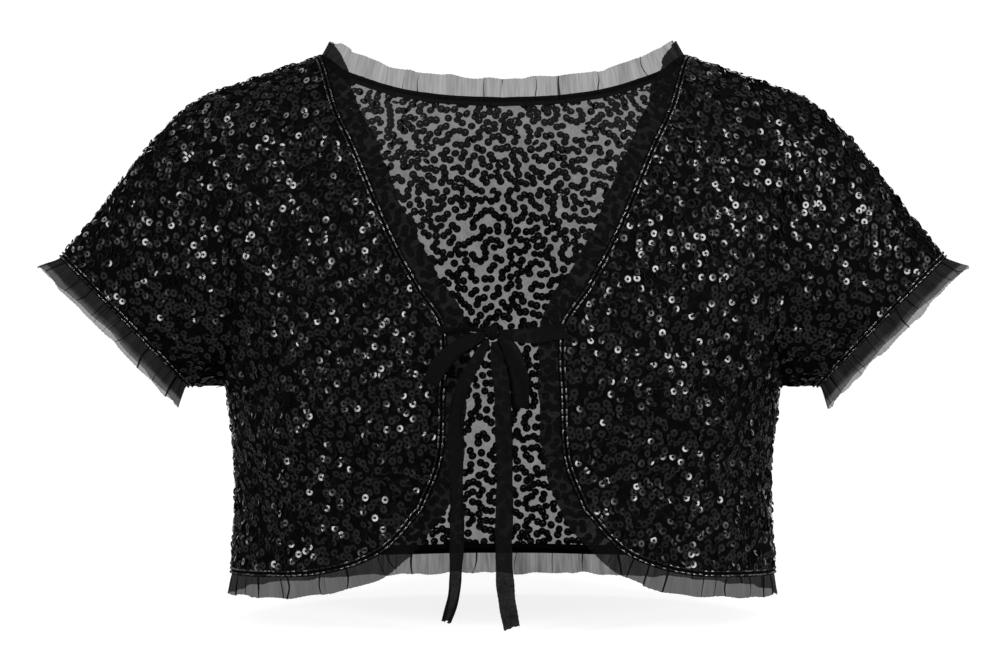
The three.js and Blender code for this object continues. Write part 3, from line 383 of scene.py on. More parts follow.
def beside(line, share, distance, side):
    """The spot a distance from a line at right angles to it over the cloth: the way across the line is
    written as turn and climb by solving with the two slopes of the form."""
    share = np.asarray(share, float)
    spot = line(share)
    round_way, up_way = torso_slopes(spot[..., 0], spot[..., 1], side)
    change = line(np.minimum(share + 1e-3, 1)) - line(np.maximum(share - 1e-3, 0))
    way = unit(round_way * change[..., :1] + up_way * change[..., 1:])
    out = unit(np.cross(cloth_at(spot, side)[1], way))
    aa, ab, bb = ((p * q).sum(-1) for p, q in ((round_way, round_way), (round_way, up_way), (up_way, up_way)))
    ra, rb = (round_way * out).sum(-1), (up_way * out).sum(-1)
    det = aa * bb - ab * ab
    turn = np.maximum(spot[..., 0] + distance * (ra * bb - rb * ab) / det, 0)
    climb = np.minimum(spot[..., 1] + distance * (rb * aa - ra * ab) / det, CROWN_TOP)
    return np.stack([turn, climb], axis=-1)


def inside_neck(share, distance):
    """A spot a distance inside the back neck edge; its last one stays on the shoulder seam."""
    spots = beside(back_neck, share, distance, BACK)
    neck = back_neck(1.0)
    last = np.array([neck[0] - distance / (SHOULDER_SPAN * math.sin(neck[0])), CROWN_TOP])
    return np.where((np.asarray(share) >= 1)[..., None], last, spots)


def back_top(u):
    """The back's top edge: along its neck band, and on along the shoulder seam."""
    along_neck = inside_neck(np.minimum(u / NECK_SHARE, 0.9999), BAND_SETBACK)
    neck_stop = inside_neck(np.array(1.0), BAND_SETBACK)
    along_seam = shoulder_from(neck_stop[0])((u - NECK_SHARE) / (1 - NECK_SHARE))
    return np.where((u < NECK_SHARE)[..., None], along_neck, along_seam)


def back_foot(u):
    """The back's lower edge, inside its band."""
    return above_hem(u, BAND_SETBACK)


def back_centre(v):
    """The back's centre line, evenly from its lower edge to its top."""
    foot, top = back_foot(np.array(0.0))[1], back_top(np.array(0.0))[1]
    return np.stack([QUARTER + 0 * v, foot + v * (top - foot)], axis=-1)


def fill_panel(hem, top, inner, outer, columns):
    """A grid of spots between four edges: the two blends across and up, less the blend of the corners."""
    v = np.linspace(0, 1, PANEL_ROWS)[:, None, None]
    u = np.linspace(0, 1, columns)[None, :, None]
    hem_line, top_line = hem(u[0, :, 0])[None], top(u[0, :, 0])[None]
    inner_line, outer_line = inner(v[:, 0, 0])[:, None], outer(v[:, 0, 0])[:, None]
    corners = (
        (1 - u) * (1 - v) * inner_line[:1] + u * (1 - v) * outer_line[:1]
        + (1 - u) * v * inner_line[-1:] + u * v * outer_line[-1:]
    )
    spots = (1 - v) * hem_line + v * top_line + (1 - u) * inner_line + u * outer_line - corners
    return np.stack([np.maximum(spots[..., 0], 0), np.minimum(spots[..., 1], CROWN_TOP)], axis=-1)


mirror = np.array([-1, 1, 1])


def mirrored(grid):
    """The same points on the other side of the body, with their columns turned round."""
    return grid[:, ::-1] * mirror


def both_halves(half):
    """A whole row of points from its left half, which starts at the centre line."""
    return np.concatenate([mirrored(half)[:, :-1], half], axis=1)


def quad_piece(name, points, loops, material, smooth=True, uv=None):
    """A piece of the body root from points in mm and its faces' corners, four by four, with their map."""
    mesh = bpy.data.meshes.new(name)
    mesh.vertices.add(points.size // 3)
    mesh.vertices.foreach_set("co", (points * MM).ravel())
    mesh.loops.add(len(loops))
    mesh.loops.foreach_set("vertex_index", loops)
    mesh.polygons.add(len(loops) // 4)
    mesh.polygons.foreach_set("loop_start", np.arange(0, len(loops), 4))
    mesh.polygons.foreach_set("use_smooth", np.full(len(loops) // 4, smooth))
    if uv is not None:
        mesh.uv_layers.new(name="cloth").data.foreach_set("uv", uv.ravel())
    mesh.update(calc_edges=True)
    mesh.validate()
    mesh.materials.append(material)
    piece = placed(name, mesh)
    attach(piece, "root")
    return piece


def cloth_object(name, grid, material, out, closed=False):
    """A smooth sheet of quads through a grid of points in mm, with a map in metres: u is the mean length
    along the rows and v the mean length up the columns. The faces turn the way that makes those of the
    first quarter of the rows look along out. A closed sheet joins its last column to its first."""
    rows, columns = grid.shape[:2]
    index = np.arange(rows * columns).reshape(rows, columns)
    loop_grid = grid
    if closed:
        index, loop_grid = (np.concatenate([table, table[:, :1]], axis=1) for table in (index, grid))
    u = running_sum(np.linalg.norm(np.diff(loop_grid, axis=1), axis=-1).mean(0)) * MM
    v = running_sum(np.linalg.norm(np.diff(loop_grid, axis=0), axis=-1).mean(1)) * MM
    uv = np.stack(np.broadcast_arrays(u[None, :], v[:, None]), axis=-1)
    first = max(rows // 4, 1)
    lean = np.cross(np.diff(loop_grid, axis=0)[:first, :-1], np.diff(loop_grid, axis=1)[:first])
    order = 1 if (lean * out).sum() > 0 else -1

    def corners(table):
        """The four corners of each cell of the grid, in the order that the faces turn."""
        cells = [table[:-1, :-1], table[1:, :-1], table[1:, 1:], table[:-1, 1:]]
        return np.stack(cells[::order], axis=2).reshape(-1, *table.shape[2:])

    return quad_piece(name, grid, corners(index), material, uv=corners(uv))


def ranged(tree, given, from_low, from_high, to_low, to_high):
    """An output carried evenly from one range to another, and held at its ends."""
    sockets = {"From Min": from_low, "From Max": from_high, "To Min": to_low, "To Max": to_high}
    return add(tree, "MapRange", {"Value": given, **sockets}).outputs["Result"]


def raised(tree, shader, height, strength, distance):
    """Tilts the shader's normal by the slope of a height pattern that stands a distance in metres."""
    bump = add(tree, "Bump", {"Height": height, "Strength": strength, "Distance": distance})
    set_sockets(tree, shader, {"Normal": bump.outputs["Normal"]})


def sheer_material(name, grey, cover, cover_spread, thread, streak=1.0, thins=None):
    """A sheer woven cloth: threads both ways at the given pitch in metres raise the bump, and slow and
    fast noise on the cloth's own map, drawn out along its width where streak is small, vary how much
    light the cloth holds back around its mean cover. Where thins names an axis of the map, a place along
    it, the run of the change and a share, the cover falls to that share past the place."""
    material, tree, shader = plain_material(name, (grey, grey, grey), 0.85, 0.03)
    cloth_map = add(tree, "UVMap", {}, uv_map="cloth").outputs["UV"]
    streaks = add(tree, "Mapping", {"Vector": cloth_map, "Scale": (1.0, streak, 1.0)}).outputs["Vector"]
    slow, fast = (
        add(tree, "TexNoise", {"Vector": streaks, "Scale": scale}).outputs["Fac"]
        for scale in (SLOW_NOISE, FAST_NOISE)
    )
    both = add(tree, "Math", {0: slow, 1: fast}, operation="ADD").outputs[0]
    held_back = ranged(tree, both, NOISE_LOW, NOISE_HIGH, cover - cover_spread, cover + cover_spread)
    if thins:
        axis, place, run, share = thins
        along = add(tree, "SeparateXYZ", {0: cloth_map}).outputs[axis]
        past = ranged(tree, along, place - run / 2, place + run / 2, 1.0, share)
        held_back = add(tree, "Math", {0: past, 1: held_back}, operation="MULTIPLY").outputs[0]
    warp, weft = (
        add(tree, "TexWave", {"Vector": cloth_map, "Scale": BAND_PITCH / thread, "Distortion": 0.6},
            wave_type="BANDS", bands_direction=direction).outputs["Fac"]
        for direction in ("X", "Y")
    )
    weave = add(tree, "Math", {0: warp, 1: weft}, operation="ADD").outputs[0]
    raised(tree, shader, weave, 0.35, THREAD_RISE)
    set_sockets(tree, shader, {"Alpha": held_back})
    return material


def net_piece(name, grid, net, out, node, closed=False):
    """A panel or sleeve of net, a sheet of the given cut through a grid of points."""
    piece = cloth_object(name, grid, net, out, closed)
    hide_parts(node)


black_net = sheer_material("black_net", 0.034, 0.812, 0.045, 0.0007)
# The fronts' and sleeves' net: nearly black and nearly opaque, painted shade for the garment's dark inside
# seen through it.
net_painted_inner_shade = sheer_material("net_painted_inner_shade", 0.0014, 0.993, 0.005, 0.0007)

front_spots = fill_panel(front_hem, shoulder_from(neck_turn), front_edge, side_line(SIDE_FOOT), FRONT_COLUMNS)
front_face, front_out = cloth_at(front_spots, FRONT)
front_net = front_face - front_out * NET_BELOW_FACE
back_side = side_line(SIDE_FOOT + BAND_SETBACK)
back_face, back_out = cloth_at(fill_panel(back_foot, back_top, back_centre, back_side, BACK_COLUMNS), BACK)
back_net = back_face - back_out * NET_BELOW_FACE
for hand, grid in (("left", front_net), ("right", mirrored(front_net))):
    net_piece("net_front_" + hand, grid, net_painted_inner_shade, FORWARDS, "front_" + hand)
net_piece("net_back", both_halves(back_net), black_net, BACKWARDS, "back")

# ---- Sleeves: the fronts' near-opaque net with its painted inner shade, set in ----
# Each short sleeve is one piece, seamed under the arm and eased into the armhole; it runs down and out
# along the arm to a slanting cuff.
CUFF_CENTRE = np.array([243.3, 0.0, -174.2])
CUFF_HALF_LENGTH, CUFF_HALF_DEPTH, CUFF_BACK_DROP = 58.5, 31.0, 4.0
CUFF_ALONG, ARM_WAY = np.array([0.6956, 0.0, 0.7183]), np.array([0.7183, 0.0, -0.6956])
SLEEVE_CROWN, SLEEVE_CROWN_FALL, SLEEVE_FULLNESS = 5.5, 2.5, 5.0
CROWN_PEAK = 1 / (1 + SLEEVE_CROWN_FALL)
# angle round from the underarm, depth, spread in angle, share of the length where the drag is deepest
SLEEVE_DRAGS = [
    (1.1, -2.2, 0.224, 0.5), (5.0, -1.6, 0.245, 0.5), (1.75, 1.0, 0.13, 0.35),
    (2.25, -1.1, 0.12, 0.55), (4.35, 0.9, 0.14, 0.6), (3.75, -0.9, 0.12, 0.4),
]
SLEEVE_ROUND, SLEEVE_ROWS = 168, 33
SEAM_EASE = 0.15


def line_length(points):
    """The length along a line of points, so far at each."""
    return running_sum(np.linalg.norm(np.diff(points, axis=0), axis=-1))


armhole_steps = np.linspace(0, 1, 301)
armhole_table = {}
for side in (FRONT, BACK):
    side_lengths = line_length(cloth_at(armhole(armhole_steps), side)[0])
    armhole_table[side] = side_lengths / side_lengths[-1]


def armhole_point(share):
    """The armhole loop by the share of its length: up the front from the underarm, and down the back.
    It gives the points and the torso's way out there."""
    share = np.mod(share, 1.0)
    points, normals = np.zeros((*share.shape, 3)), np.zeros((*share.shape, 3))
    for side, part, up in ((FRONT, share < 0.5, 2 * share), (BACK, share >= 0.5, 2 - 2 * share)):
        face, out = cloth_at(armhole(np.interp(up, armhole_table[side], armhole_steps)), side)
        points = np.where(part[..., None], face, points)
        normals = np.where(part[..., None], out, normals)
    return points, normals


def sleeve(share, along):
    """The sleeve's outer face: straight lines from the armhole loop to the oval cuff, with the head
    raised along the cuff's length, the sides filled out, and the drags as bells over the angle."""
    angle = 2 * math.pi * share
    cuff = CUFF_CENTRE - CUFF_HALF_LENGTH * np.cos(angle)[..., None] * CUFF_ALONG
    cuff = cuff - CUFF_BACK_DROP * np.sin(angle)[..., None] * ARM_WAY
    cuff[..., 1] -= CUFF_HALF_DEPTH * np.sin(angle)
    start, _ = armhole_point(share)
    point = start + (cuff - start) * along[..., None]
    head = along * (1 - along) ** SLEEVE_CROWN_FALL / (CROWN_PEAK * (1 - CROWN_PEAK) ** SLEEVE_CROWN_FALL)
    crown = SLEEVE_CROWN * np.maximum(-np.cos(angle), 0) * head
    full = SLEEVE_FULLNESS * np.abs(np.sin(angle)) * np.sin(math.pi * along)
    turned = np.mod(angle, 2 * math.pi)
    for middle, depth, spread, deepest in SLEEVE_DRAGS:
        reach = np.sin(math.pi * along ** (math.log(0.5) / math.log(deepest)))
        full = full + depth * np.exp(-(((turned - middle) / spread) ** 2)) * reach
    point = point + crown[..., None] * CUFF_ALONG
    point[..., 1] -= np.sign(np.sin(angle)) * full
    return point


def sleeve_normal(share, along):
    """The way out of the sleeve: down its length crossed with round its girth."""
    step = 0.01
    down = sleeve(share, np.minimum(along + step, 1)) - sleeve(share, np.maximum(along - step, 0))
    around = sleeve(share + step, along) - sleeve(share - step, along)
    return unit(np.cross(down, around))


round_shares, down_shares = np.meshgrid(
    np.arange(SLEEVE_ROUND) / SLEEVE_ROUND, np.linspace(0, 1, SLEEVE_ROWS)
)
sleeve_face = sleeve(round_shares, down_shares)
ease = smoothstep(down_shares / SEAM_EASE)[..., None]
seam_out = armhole_point(round_shares)[1]
sleeve_out = unit(seam_out * (1 - ease) + sleeve_normal(round_shares, down_shares) * ease)
sleeve_net = sleeve_face - sleeve_out * NET_BELOW_FACE
for hand, grid, out in (
    ("left", sleeve_net, sleeve_out[-1]), ("right", mirrored(sleeve_net), mirrored(sleeve_out)[-1])
):
    net_piece("net_sleeve_" + hand, grid, net_painted_inner_shade, out, "sleeve_" + hand, True)

# ---- Bindings: the folded tape round the back neck and the back hem ----
# A dull black tape, cut 12.4 mm wide and folded over the cut edge of the net, so that it stands 6.2 mm on
# both sides; it is stitched down along its two long edges.
TAPE_WIDTH, TAPE_DEPTH = 6.2, 2.0
TAPE_LAYERS = 9
TAPE_PUCKER = 0.12

tape_black, tape_tree, tape_shader = plain_material("tape_black", (0.009, 0.009, 0.0095), 0.7, 0.12)
tape_map = add(tape_tree, "UVMap", {}, uv_map="cloth").outputs["UV"]
tape_ribs = add(tape_tree, "TexWave", {"Vector": tape_map, "Scale": 420.0, "Distortion": 1.5})
raised(tape_tree, tape_shader, tape_ribs.outputs["Fac"], 0.5, 0.0003)


def folded_tape(name, spot_at, steps, node):
    """A tape folded round a cut edge: across it, the depth below the outer face runs from 0 to the wall's
    thickness while the distance from the edge runs from the tape's width to 0 and back, a flattened U."""
    shares = np.linspace(0, 1, steps)
    half = []
    for layer in np.linspace(-1, 1, TAPE_LAYERS):
        face, out = cloth_at(spot_at(shares, TAPE_WIDTH * abs(layer) ** 0.8), BACK)
        depth = TAPE_DEPTH / 2 * (1 + math.sin(QUARTER * layer))
        pucker = TAPE_PUCKER * np.sin(37 * shares + 9 * layer) * np.sin(91 * shares)
        half.append(face - out * (depth + pucker)[:, None])
    piece = cloth_object(name, both_halves(np.array(half)), tape_black, BACKWARDS)
    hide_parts(node)


folded_tape("binding_back_neck", inside_neck, 120, "band_back_neck")
folded_tape("binding_back_hem", above_hem, 150, "band_back_hem")

# ---- Sequins: short wandering trails chain-stitched to the net ----
# Flat round black sequins, 5.5 mm across with a 1.7 mm hole, each lapping the last. The trails curl and
# stop at random, close together but apart, with bare net between them: the common vermicelli filling.
SEQUIN_RADII = np.array([0.86, 2.16, 2.74])
SEQUIN_DIPS = np.array([-0.05, 0.0, -0.12])
SEQUIN_SIDES = 12
SEQUIN_BOW, SEQUIN_SIZES = 0.022, 0.02
# mean and spread of the lap in degrees, spread of the tip, and mean and spread of the height off the face
SEQUIN_LAP, SEQUIN_TIP, SEQUIN_SIT = (7, 4), 12, (-0.45, 0.08)
SHORTEST_STEP, LONGEST_STEP = 3.45, 3.95
TRAIL_LONGEST = 12
TRAIL_CLEARANCE, FILLING_CLEARANCE = (4.9, 5.9), 4.6
TRAIL_CURL, TRAIL_TURNS = (0.45, 1.2), 0.3
LONE_LEFT_OUT = 0.35
CUT_MARGIN, BAND_MARGIN, SEAM_MARGIN = 5.8, 1.6, 2.2
CANDIDATE_AREA = 0.8
THREAD_REACH, THREAD_HALF, THREAD_BELOW = 0.9, 0.75, 0.85


def cloudy_gloss(tree, shader, scale, *ranges):
    """Roughness that drifts over a piece: noise in the object's own space, carried to the gloss's range."""
    place = add(tree, "TexCoord", {}).outputs["Object"]
    cloud = add(tree, "TexNoise", {"Vector": place, "Scale": scale}).outputs["Fac"]
    set_sockets(tree, shader, {"Roughness": ranged(tree, cloud, *ranges)})


sequin_black, sequin_tree, sequin_shader = plain_material("sequin_black", (0.0012, 0.0012, 0.0014), 0.16)
cloudy_gloss(sequin_tree, sequin_shader, 260.0, 0.3, 0.7, 0.08, 0.24)
sequin_rim = plain_material("sequin_rim", (0.0016, 0.0016, 0.0018), 0.6, 0.15)[0]
thread_black = plain_material("thread_black", (0.0016, 0.0016, 0.0016), 0.8, 0.05)[0]


def scattered_on(face, out, rng):
    """Random places spread evenly over a grid surface: cells are drawn by their area, and a place in a
    cell is the bilinear blend of its four corners. It gives the places and the way out at each."""
    across = np.linalg.norm(np.cross(np.diff(face, axis=1)[:-1], np.diff(face, axis=0)[:, :-1]), axis=-1)
    count = int(across.sum() / CANDIDATE_AREA)
    cells = rng.choice(across.size, count, p=(across / across.sum()).ravel())
    row, column = np.divmod(cells, across.shape[1])
    v, u = rng.random((2, count, 1))

    def blend(table):
        """Along the two rows by u, and then between them by v."""
        low = table[row, column] * (1 - u) + table[row, column + 1] * u
        high = table[row + 1, column] * (1 - u) + table[row + 1, column + 1] * u
        return low * (1 - v) + high * v

    return blend(face), unit(blend(out))


def sewn_trails(face, out, cut_lines, seam_lines, seed, cut_margin=CUT_MARGIN):
    """Trails over a surface: each starts at a random free place and steps one sequin at a time to the
    free place that lies nearest its curling heading; what it passes is then closed to the other trails.
    A second round fills what is left with closer trails. It gives the centre, way out and heading of each
    sequin, and whether it leads on to the next."""
    rng = np.random.default_rng(seed)
    places, ways_out = scattered_on(face, out, rng)
    tree = KDTree(len(places))
    for number, place in enumerate(places.tolist()):
        tree.insert(place, number)
    tree.balance()
    nearest = np.full(len(places), 99.0)

    def close_round(place, radius, pad=0.0):
        """Each place within the radius keeps the least distance to what was sewn, less the pad."""
        found = tree.find_range(place, radius)
        numbers = [number for _, number, _ in found]
        nearest[numbers] = np.minimum(nearest[numbers], [distance - pad for _, _, distance in found])

    for lines, margin in ((cut_lines, cut_margin), (seam_lines, SEAM_MARGIN)):
        for place in np.concatenate([line[::2] for line in lines]).tolist():
            close_round(place, margin, margin)
    sewn, leads_on, headings = [], [], []
    order = rng.permutation(len(places)).tolist()
    for start, filling in [(start, filling) for filling in (False, True) for start in order]:
        if nearest[start] < (FILLING_CLEARANCE if filling else TRAIL_CLEARANCE[1]):
            continue
        clearance = FILLING_CLEARANCE if filling else rng.uniform(*TRAIL_CLEARANCE)
        length = rng.integers(2, TRAIL_LONGEST + 1)
        curl = rng.choice([-1, 1]) * rng.uniform(*TRAIL_CURL)
        here = start
        heading = unit(np.cross(ways_out[here], rng.normal(size=3)))
        trail, ways = [here], []
        while len(trail) < length:
            place = places[here]
            wish = heading * math.cos(curl) + np.cross(ways_out[here], heading) * math.sin(curl)
            near = tree.find_range(place, LONGEST_STEP)
            numbers = np.array([number for _, number, distance in near if distance > SHORTEST_STEP])
            numbers = numbers[nearest[numbers] > clearance] if len(numbers) else numbers
            if not len(numbers):
                break
            steps = unit(places[numbers] - place)
            scores = steps @ wish
            best = int(np.argmax(scores))
            if len(trail) > 1 and scores[best] < 0:
                break
            close_round(place, TRAIL_CLEARANCE[1])
            heading, here = steps[best], int(numbers[best])
            ways.append(heading)
            trail.append(here)
            if rng.random() < TRAIL_TURNS:
                curl = -np.sign(curl) * rng.uniform(*TRAIL_CURL)
        close_round(places[here], TRAIL_CLEARANCE[1])
        if len(trail) == 1 and rng.random() < LONE_LEFT_OUT:
            continue
        sewn += trail
        headings += ways + [ways[-1] if ways else heading]
        leads_on += [True] * (len(trail) - 1) + [False]
    return places[sewn], ways_out[sewn], np.array(headings), np.array(leads_on)


def joined_shapes(name, points, quads, material, smooth=False):
    """One mesh from many copies of a shape: points is (copies, corners, 3), quads one copy's faces."""
    copies, corners = points.shape[:2]
    faces = (quads[None] + (np.arange(copies) * corners)[:, None, None]).reshape(-1)
    return quad_piece(name, points, faces, material, smooth)


def second_finish(piece, material, marked):
    """A second material, on the faces that are marked."""
    piece.data.materials.append(material)
    piece.data.polygons.foreach_set("material_index", marked.astype(int))


def ring_quads(rings, sides):
    """The faces between rings of equal corner counts: each joins two corners to the same two of the next."""
    ring, corner = np.repeat(np.arange(rings - 1), sides), np.tile(np.arange(sides), rings - 1)
    here, after = ring * sides + corner, ring * sides + (corner + 1) % sides
    return np.stack([here, here + sides, after + sides, after], axis=-1)


def sequins(name, places, ways_out, headings, seed):
    """Flat rings with a slight cup and a turned-down rim: three circles of corners, the middle one the
    highest, all bowed a little about a random axis by the square of the distance from it. Each ring is
    tipped back over the one behind it and a little at random."""
    rng = np.random.default_rng(seed)
    count = len(places)
    along = unit(headings - ways_out * (headings * ways_out).sum(-1, keepdims=True))
    beside_way = np.cross(ways_out, along)
    lap = np.radians(rng.normal(*SEQUIN_LAP, count))
    tip_along, tip_beside = np.radians(rng.normal(0, SEQUIN_TIP, (2, count)))
    up = unit(ways_out - along * np.tan(lap + tip_along)[:, None] + beside_way * np.tan(tip_beside)[:, None])
    first = unit(along - up * (along * up).sum(-1, keepdims=True))
    second = np.cross(up, first)
    angles = 2 * math.pi * np.arange(SEQUIN_SIDES) / SEQUIN_SIDES
    size = rng.normal(1, SEQUIN_SIZES, count)[:, None, None, None]
    flat = first[:, None, None] * np.cos(angles)[:, None] + second[:, None, None] * np.sin(angles)[:, None]
    bow_angle, bow = rng.uniform(0, math.pi, count), rng.normal(0, SEQUIN_BOW, count)
    off_axis = SEQUIN_RADII[:, None] * np.sin(angles - bow_angle[:, None, None])
    rise = SEQUIN_DIPS[:, None] + bow[:, None, None] * off_axis**2
    points = flat * SEQUIN_RADII[:, None, None] * size + up[:, None, None] * rise[..., None]
    centres = places + ways_out * rng.normal(*SEQUIN_SIT, count)[:, None]
    points = centres[:, None, None] + points
    quads = ring_quads(3, SEQUIN_SIDES)
    piece = joined_shapes(name, points.reshape(count, -1, 3), quads, sequin_black)
    second_finish(piece, sequin_rim, np.tile(np.arange(len(quads)) >= SEQUIN_SIDES, count))


def trail_threads(name, places, ways_out, headings, leads_on):
    """The chain stitches under each trail: a flat thread 1.5 mm wide that runs from behind each sequin's
    hole on to the next one, or ends just past the hole of a trail's last sequin."""
    start, end = places - headings * THREAD_REACH, places + headings * THREAD_REACH
    end[:-1] = np.where(leads_on[:-1, None], places[1:], end[:-1])
    aside = unit(np.cross(ways_out, unit(end - start))) * THREAD_HALF
    start, end = start - ways_out * THREAD_BELOW, end - ways_out * THREAD_BELOW
    points = np.stack([start - aside, end - aside, end + aside, start + aside], axis=1)
    piece = joined_shapes(name, points, np.array([[0, 1, 2, 3]]), thread_black)


fine_shares = np.linspace(0, 1, 400)
front_cuts = [cloth_at(line(fine_shares), FRONT)[0] for line in (front_edge, front_hem)]
back_cuts = [back_face[-1, :int(NECK_SHARE * BACK_COLUMNS) + 1], back_face[0]]
back_seams = [back_face[:, -1], back_face[-1]]
back_lines = ([both_halves(line[None])[0] for line in lines] for lines in (back_cuts, back_seams))
back_trails = sewn_trails(both_halves(back_face), both_halves(back_out), *back_lines, 11, BAND_MARGIN)
on_left = back_trails[0][:, 0] > 0
for name, part in (("sequins_back_left", on_left), ("sequins_back_right", ~on_left)):
    sequins(name, *(table[part] for table in back_trails[:3]), 12)
trail_threads("threads_back", *back_trails)

front_cloth = (front_face, front_out, front_cuts, [front_face[:, -1], front_face[-1]])
sleeve_tube = (np.concatenate([table, table[:, :1]], axis=1) for table in (sleeve_face, sleeve_out))
sleeve_cloth = (*sleeve_tube, [sleeve_face[-1]], [sleeve_face[0]])
for name, cloth, turned, seed in (
    ("front_left", front_cloth, 1, 21), ("front_right", front_cloth, mirror, 31),
    ("sleeve_left", sleeve_cloth, 1, 41), ("sleeve_right", sleeve_cloth, mirror, 51),
):
    *tables, leads_on = sewn_trails(*cloth, seed)
    tables = [table * turned for table in tables]
    sequins("sequins_" + name, *tables, seed + 1)
    trail_threads("threads_" + name, *tables, leads_on)

# ---- Ruffles: raw-edged chiffon strips round every edge ----
# Bias strips of sheer black chiffon, gathered by small uneven tucks into the edge and left raw. They
# stand up round the neck and lie flat round the fronts, the hem and the cuffs.
RUFFLE_ROWS, RUFFLE_STEP = 11, 0.9
RUFFLE_START, RUFFLE_UNDER, RUFFLE_BELOW_FACE = 0.75, 3.2, 1.9
# width and the mean distance between the tucks that lie folded over
RUFFLES = {"front": (12.0, 15.0), "neck": (12.0, 32.0), "hem": (13.0, 22.0), "cuff": (15.0, 14.0)}
# the least fold of a tuck and what may be added, how far it runs back, and how far its layers lie apart
TUCK_FOLD, TUCK_FOLD_MORE, TUCK_BACK, TUCK_LAYER = 0.5, 2.3, 1.65, 0.45
TUCK_JITTER, TUCK_SPREAD, TUCK_LEAN, TUCK_SWAY, TUCK_PLACES = 0.45, (0.62, 0.95), 1.3, 0.8, 21
WAVE_SPACING, WAVE_HEIGHT, CRINKLE, RIPPLE, EDGE_WANDER, FRAY = 18.0, 1.1, 0.22, 0.18, 0.5, 0.25
BACK_STAND, NECK_STAND, LIE_ANGLE = 46.0, 40.0, 6.0
STAND_LENGTH, END_HOLD = 70.0, 4.0
NECK_TRIM, NECK_TRIM_DEPTH = 2.0, 32.0
CUFF_FLARE, CUFF_FLARE_ENDS = 0.15, 0.3
CUFF_TRIM_SIDES, CUFF_TRIM_FRONT = 2.8, 1.6
EDGE_SHARE = 0.6
EDGE_STEPS = 900

ruffle_chiffon = sheer_material("ruffle_chiffon", 0.004, 0.82, 0.08, 0.0004, 0.08)
# The front ruffles' chiffon holds back more light than the other ruffles, and more along the V edge than past
# 0.42 m round the hem: painted shade where the strip lies over the garment's dark inside.
front_chiffon_painted_shade = sheer_material("front_chiffon_painted_shade", 0.003, 0.965, 0.025, 0.0004, 0.08, ("X", 0.42, 0.04, 0.91))
cuff_chiffon = sheer_material("cuff_chiffon", 0.004, 0.90, 0.045, 0.0004, 0.08, ("Y", 0.0125, 0.0016, 0.78))
neck_chiffon = sheer_material("neck_chiffon", 0.008, 0.68, 0.09, 0.0004, 0.08)


def along_frame(table, lengths, at):
    """A table's points or ways at the given lengths, on straight lines between its rows."""
    return np.stack([np.interp(at, lengths, table[:, axis]) for axis in range(3)], axis=-1)


def tuck_layers(steps, share, tucks, folds, spreads, bent):
    """How far a tucked strip runs back along its edge, a bell's slope at each tuck, and how far its three
    layers there lie apart."""
    from_tuck = (steps[:, None] - tucks[None] - bent[None]) / spreads[None]
    bell = np.exp(-(from_tuck**2) / 2)
    back = -(from_tuck * bell * (TUCK_BACK * folds)[None] * (1 - 0.25 * share)).sum(1)
    return back, -(np.tanh(from_tuck * 1.5) * bell * TUCK_LAYER).sum(1)


def strip_wave(steps, share, seed):
    """The strip out of its plane: a slow, uneven wave that grows to the raw edge, and a fine crinkle. The
    sines' lengths in mm share no common measure, so that no two stretches are alike."""
    phase = steps / WAVE_SPACING
    phase = phase + 0.16 * np.sin(1.9 * phase + seed) + 0.1 * np.sin(4.3 * phase + 2 * seed)
    crinkle = (CRINKLE * np.sin(steps / 1.3 + 2.2 * np.sin(steps / 5.1)) * (1 - 0.5 * share)
               + RIPPLE * np.sin(steps / 2.7 + 4 * share + seed))
    return WAVE_HEIGHT * np.sin(2 * math.pi * phase) * share + crinkle * share**0.5


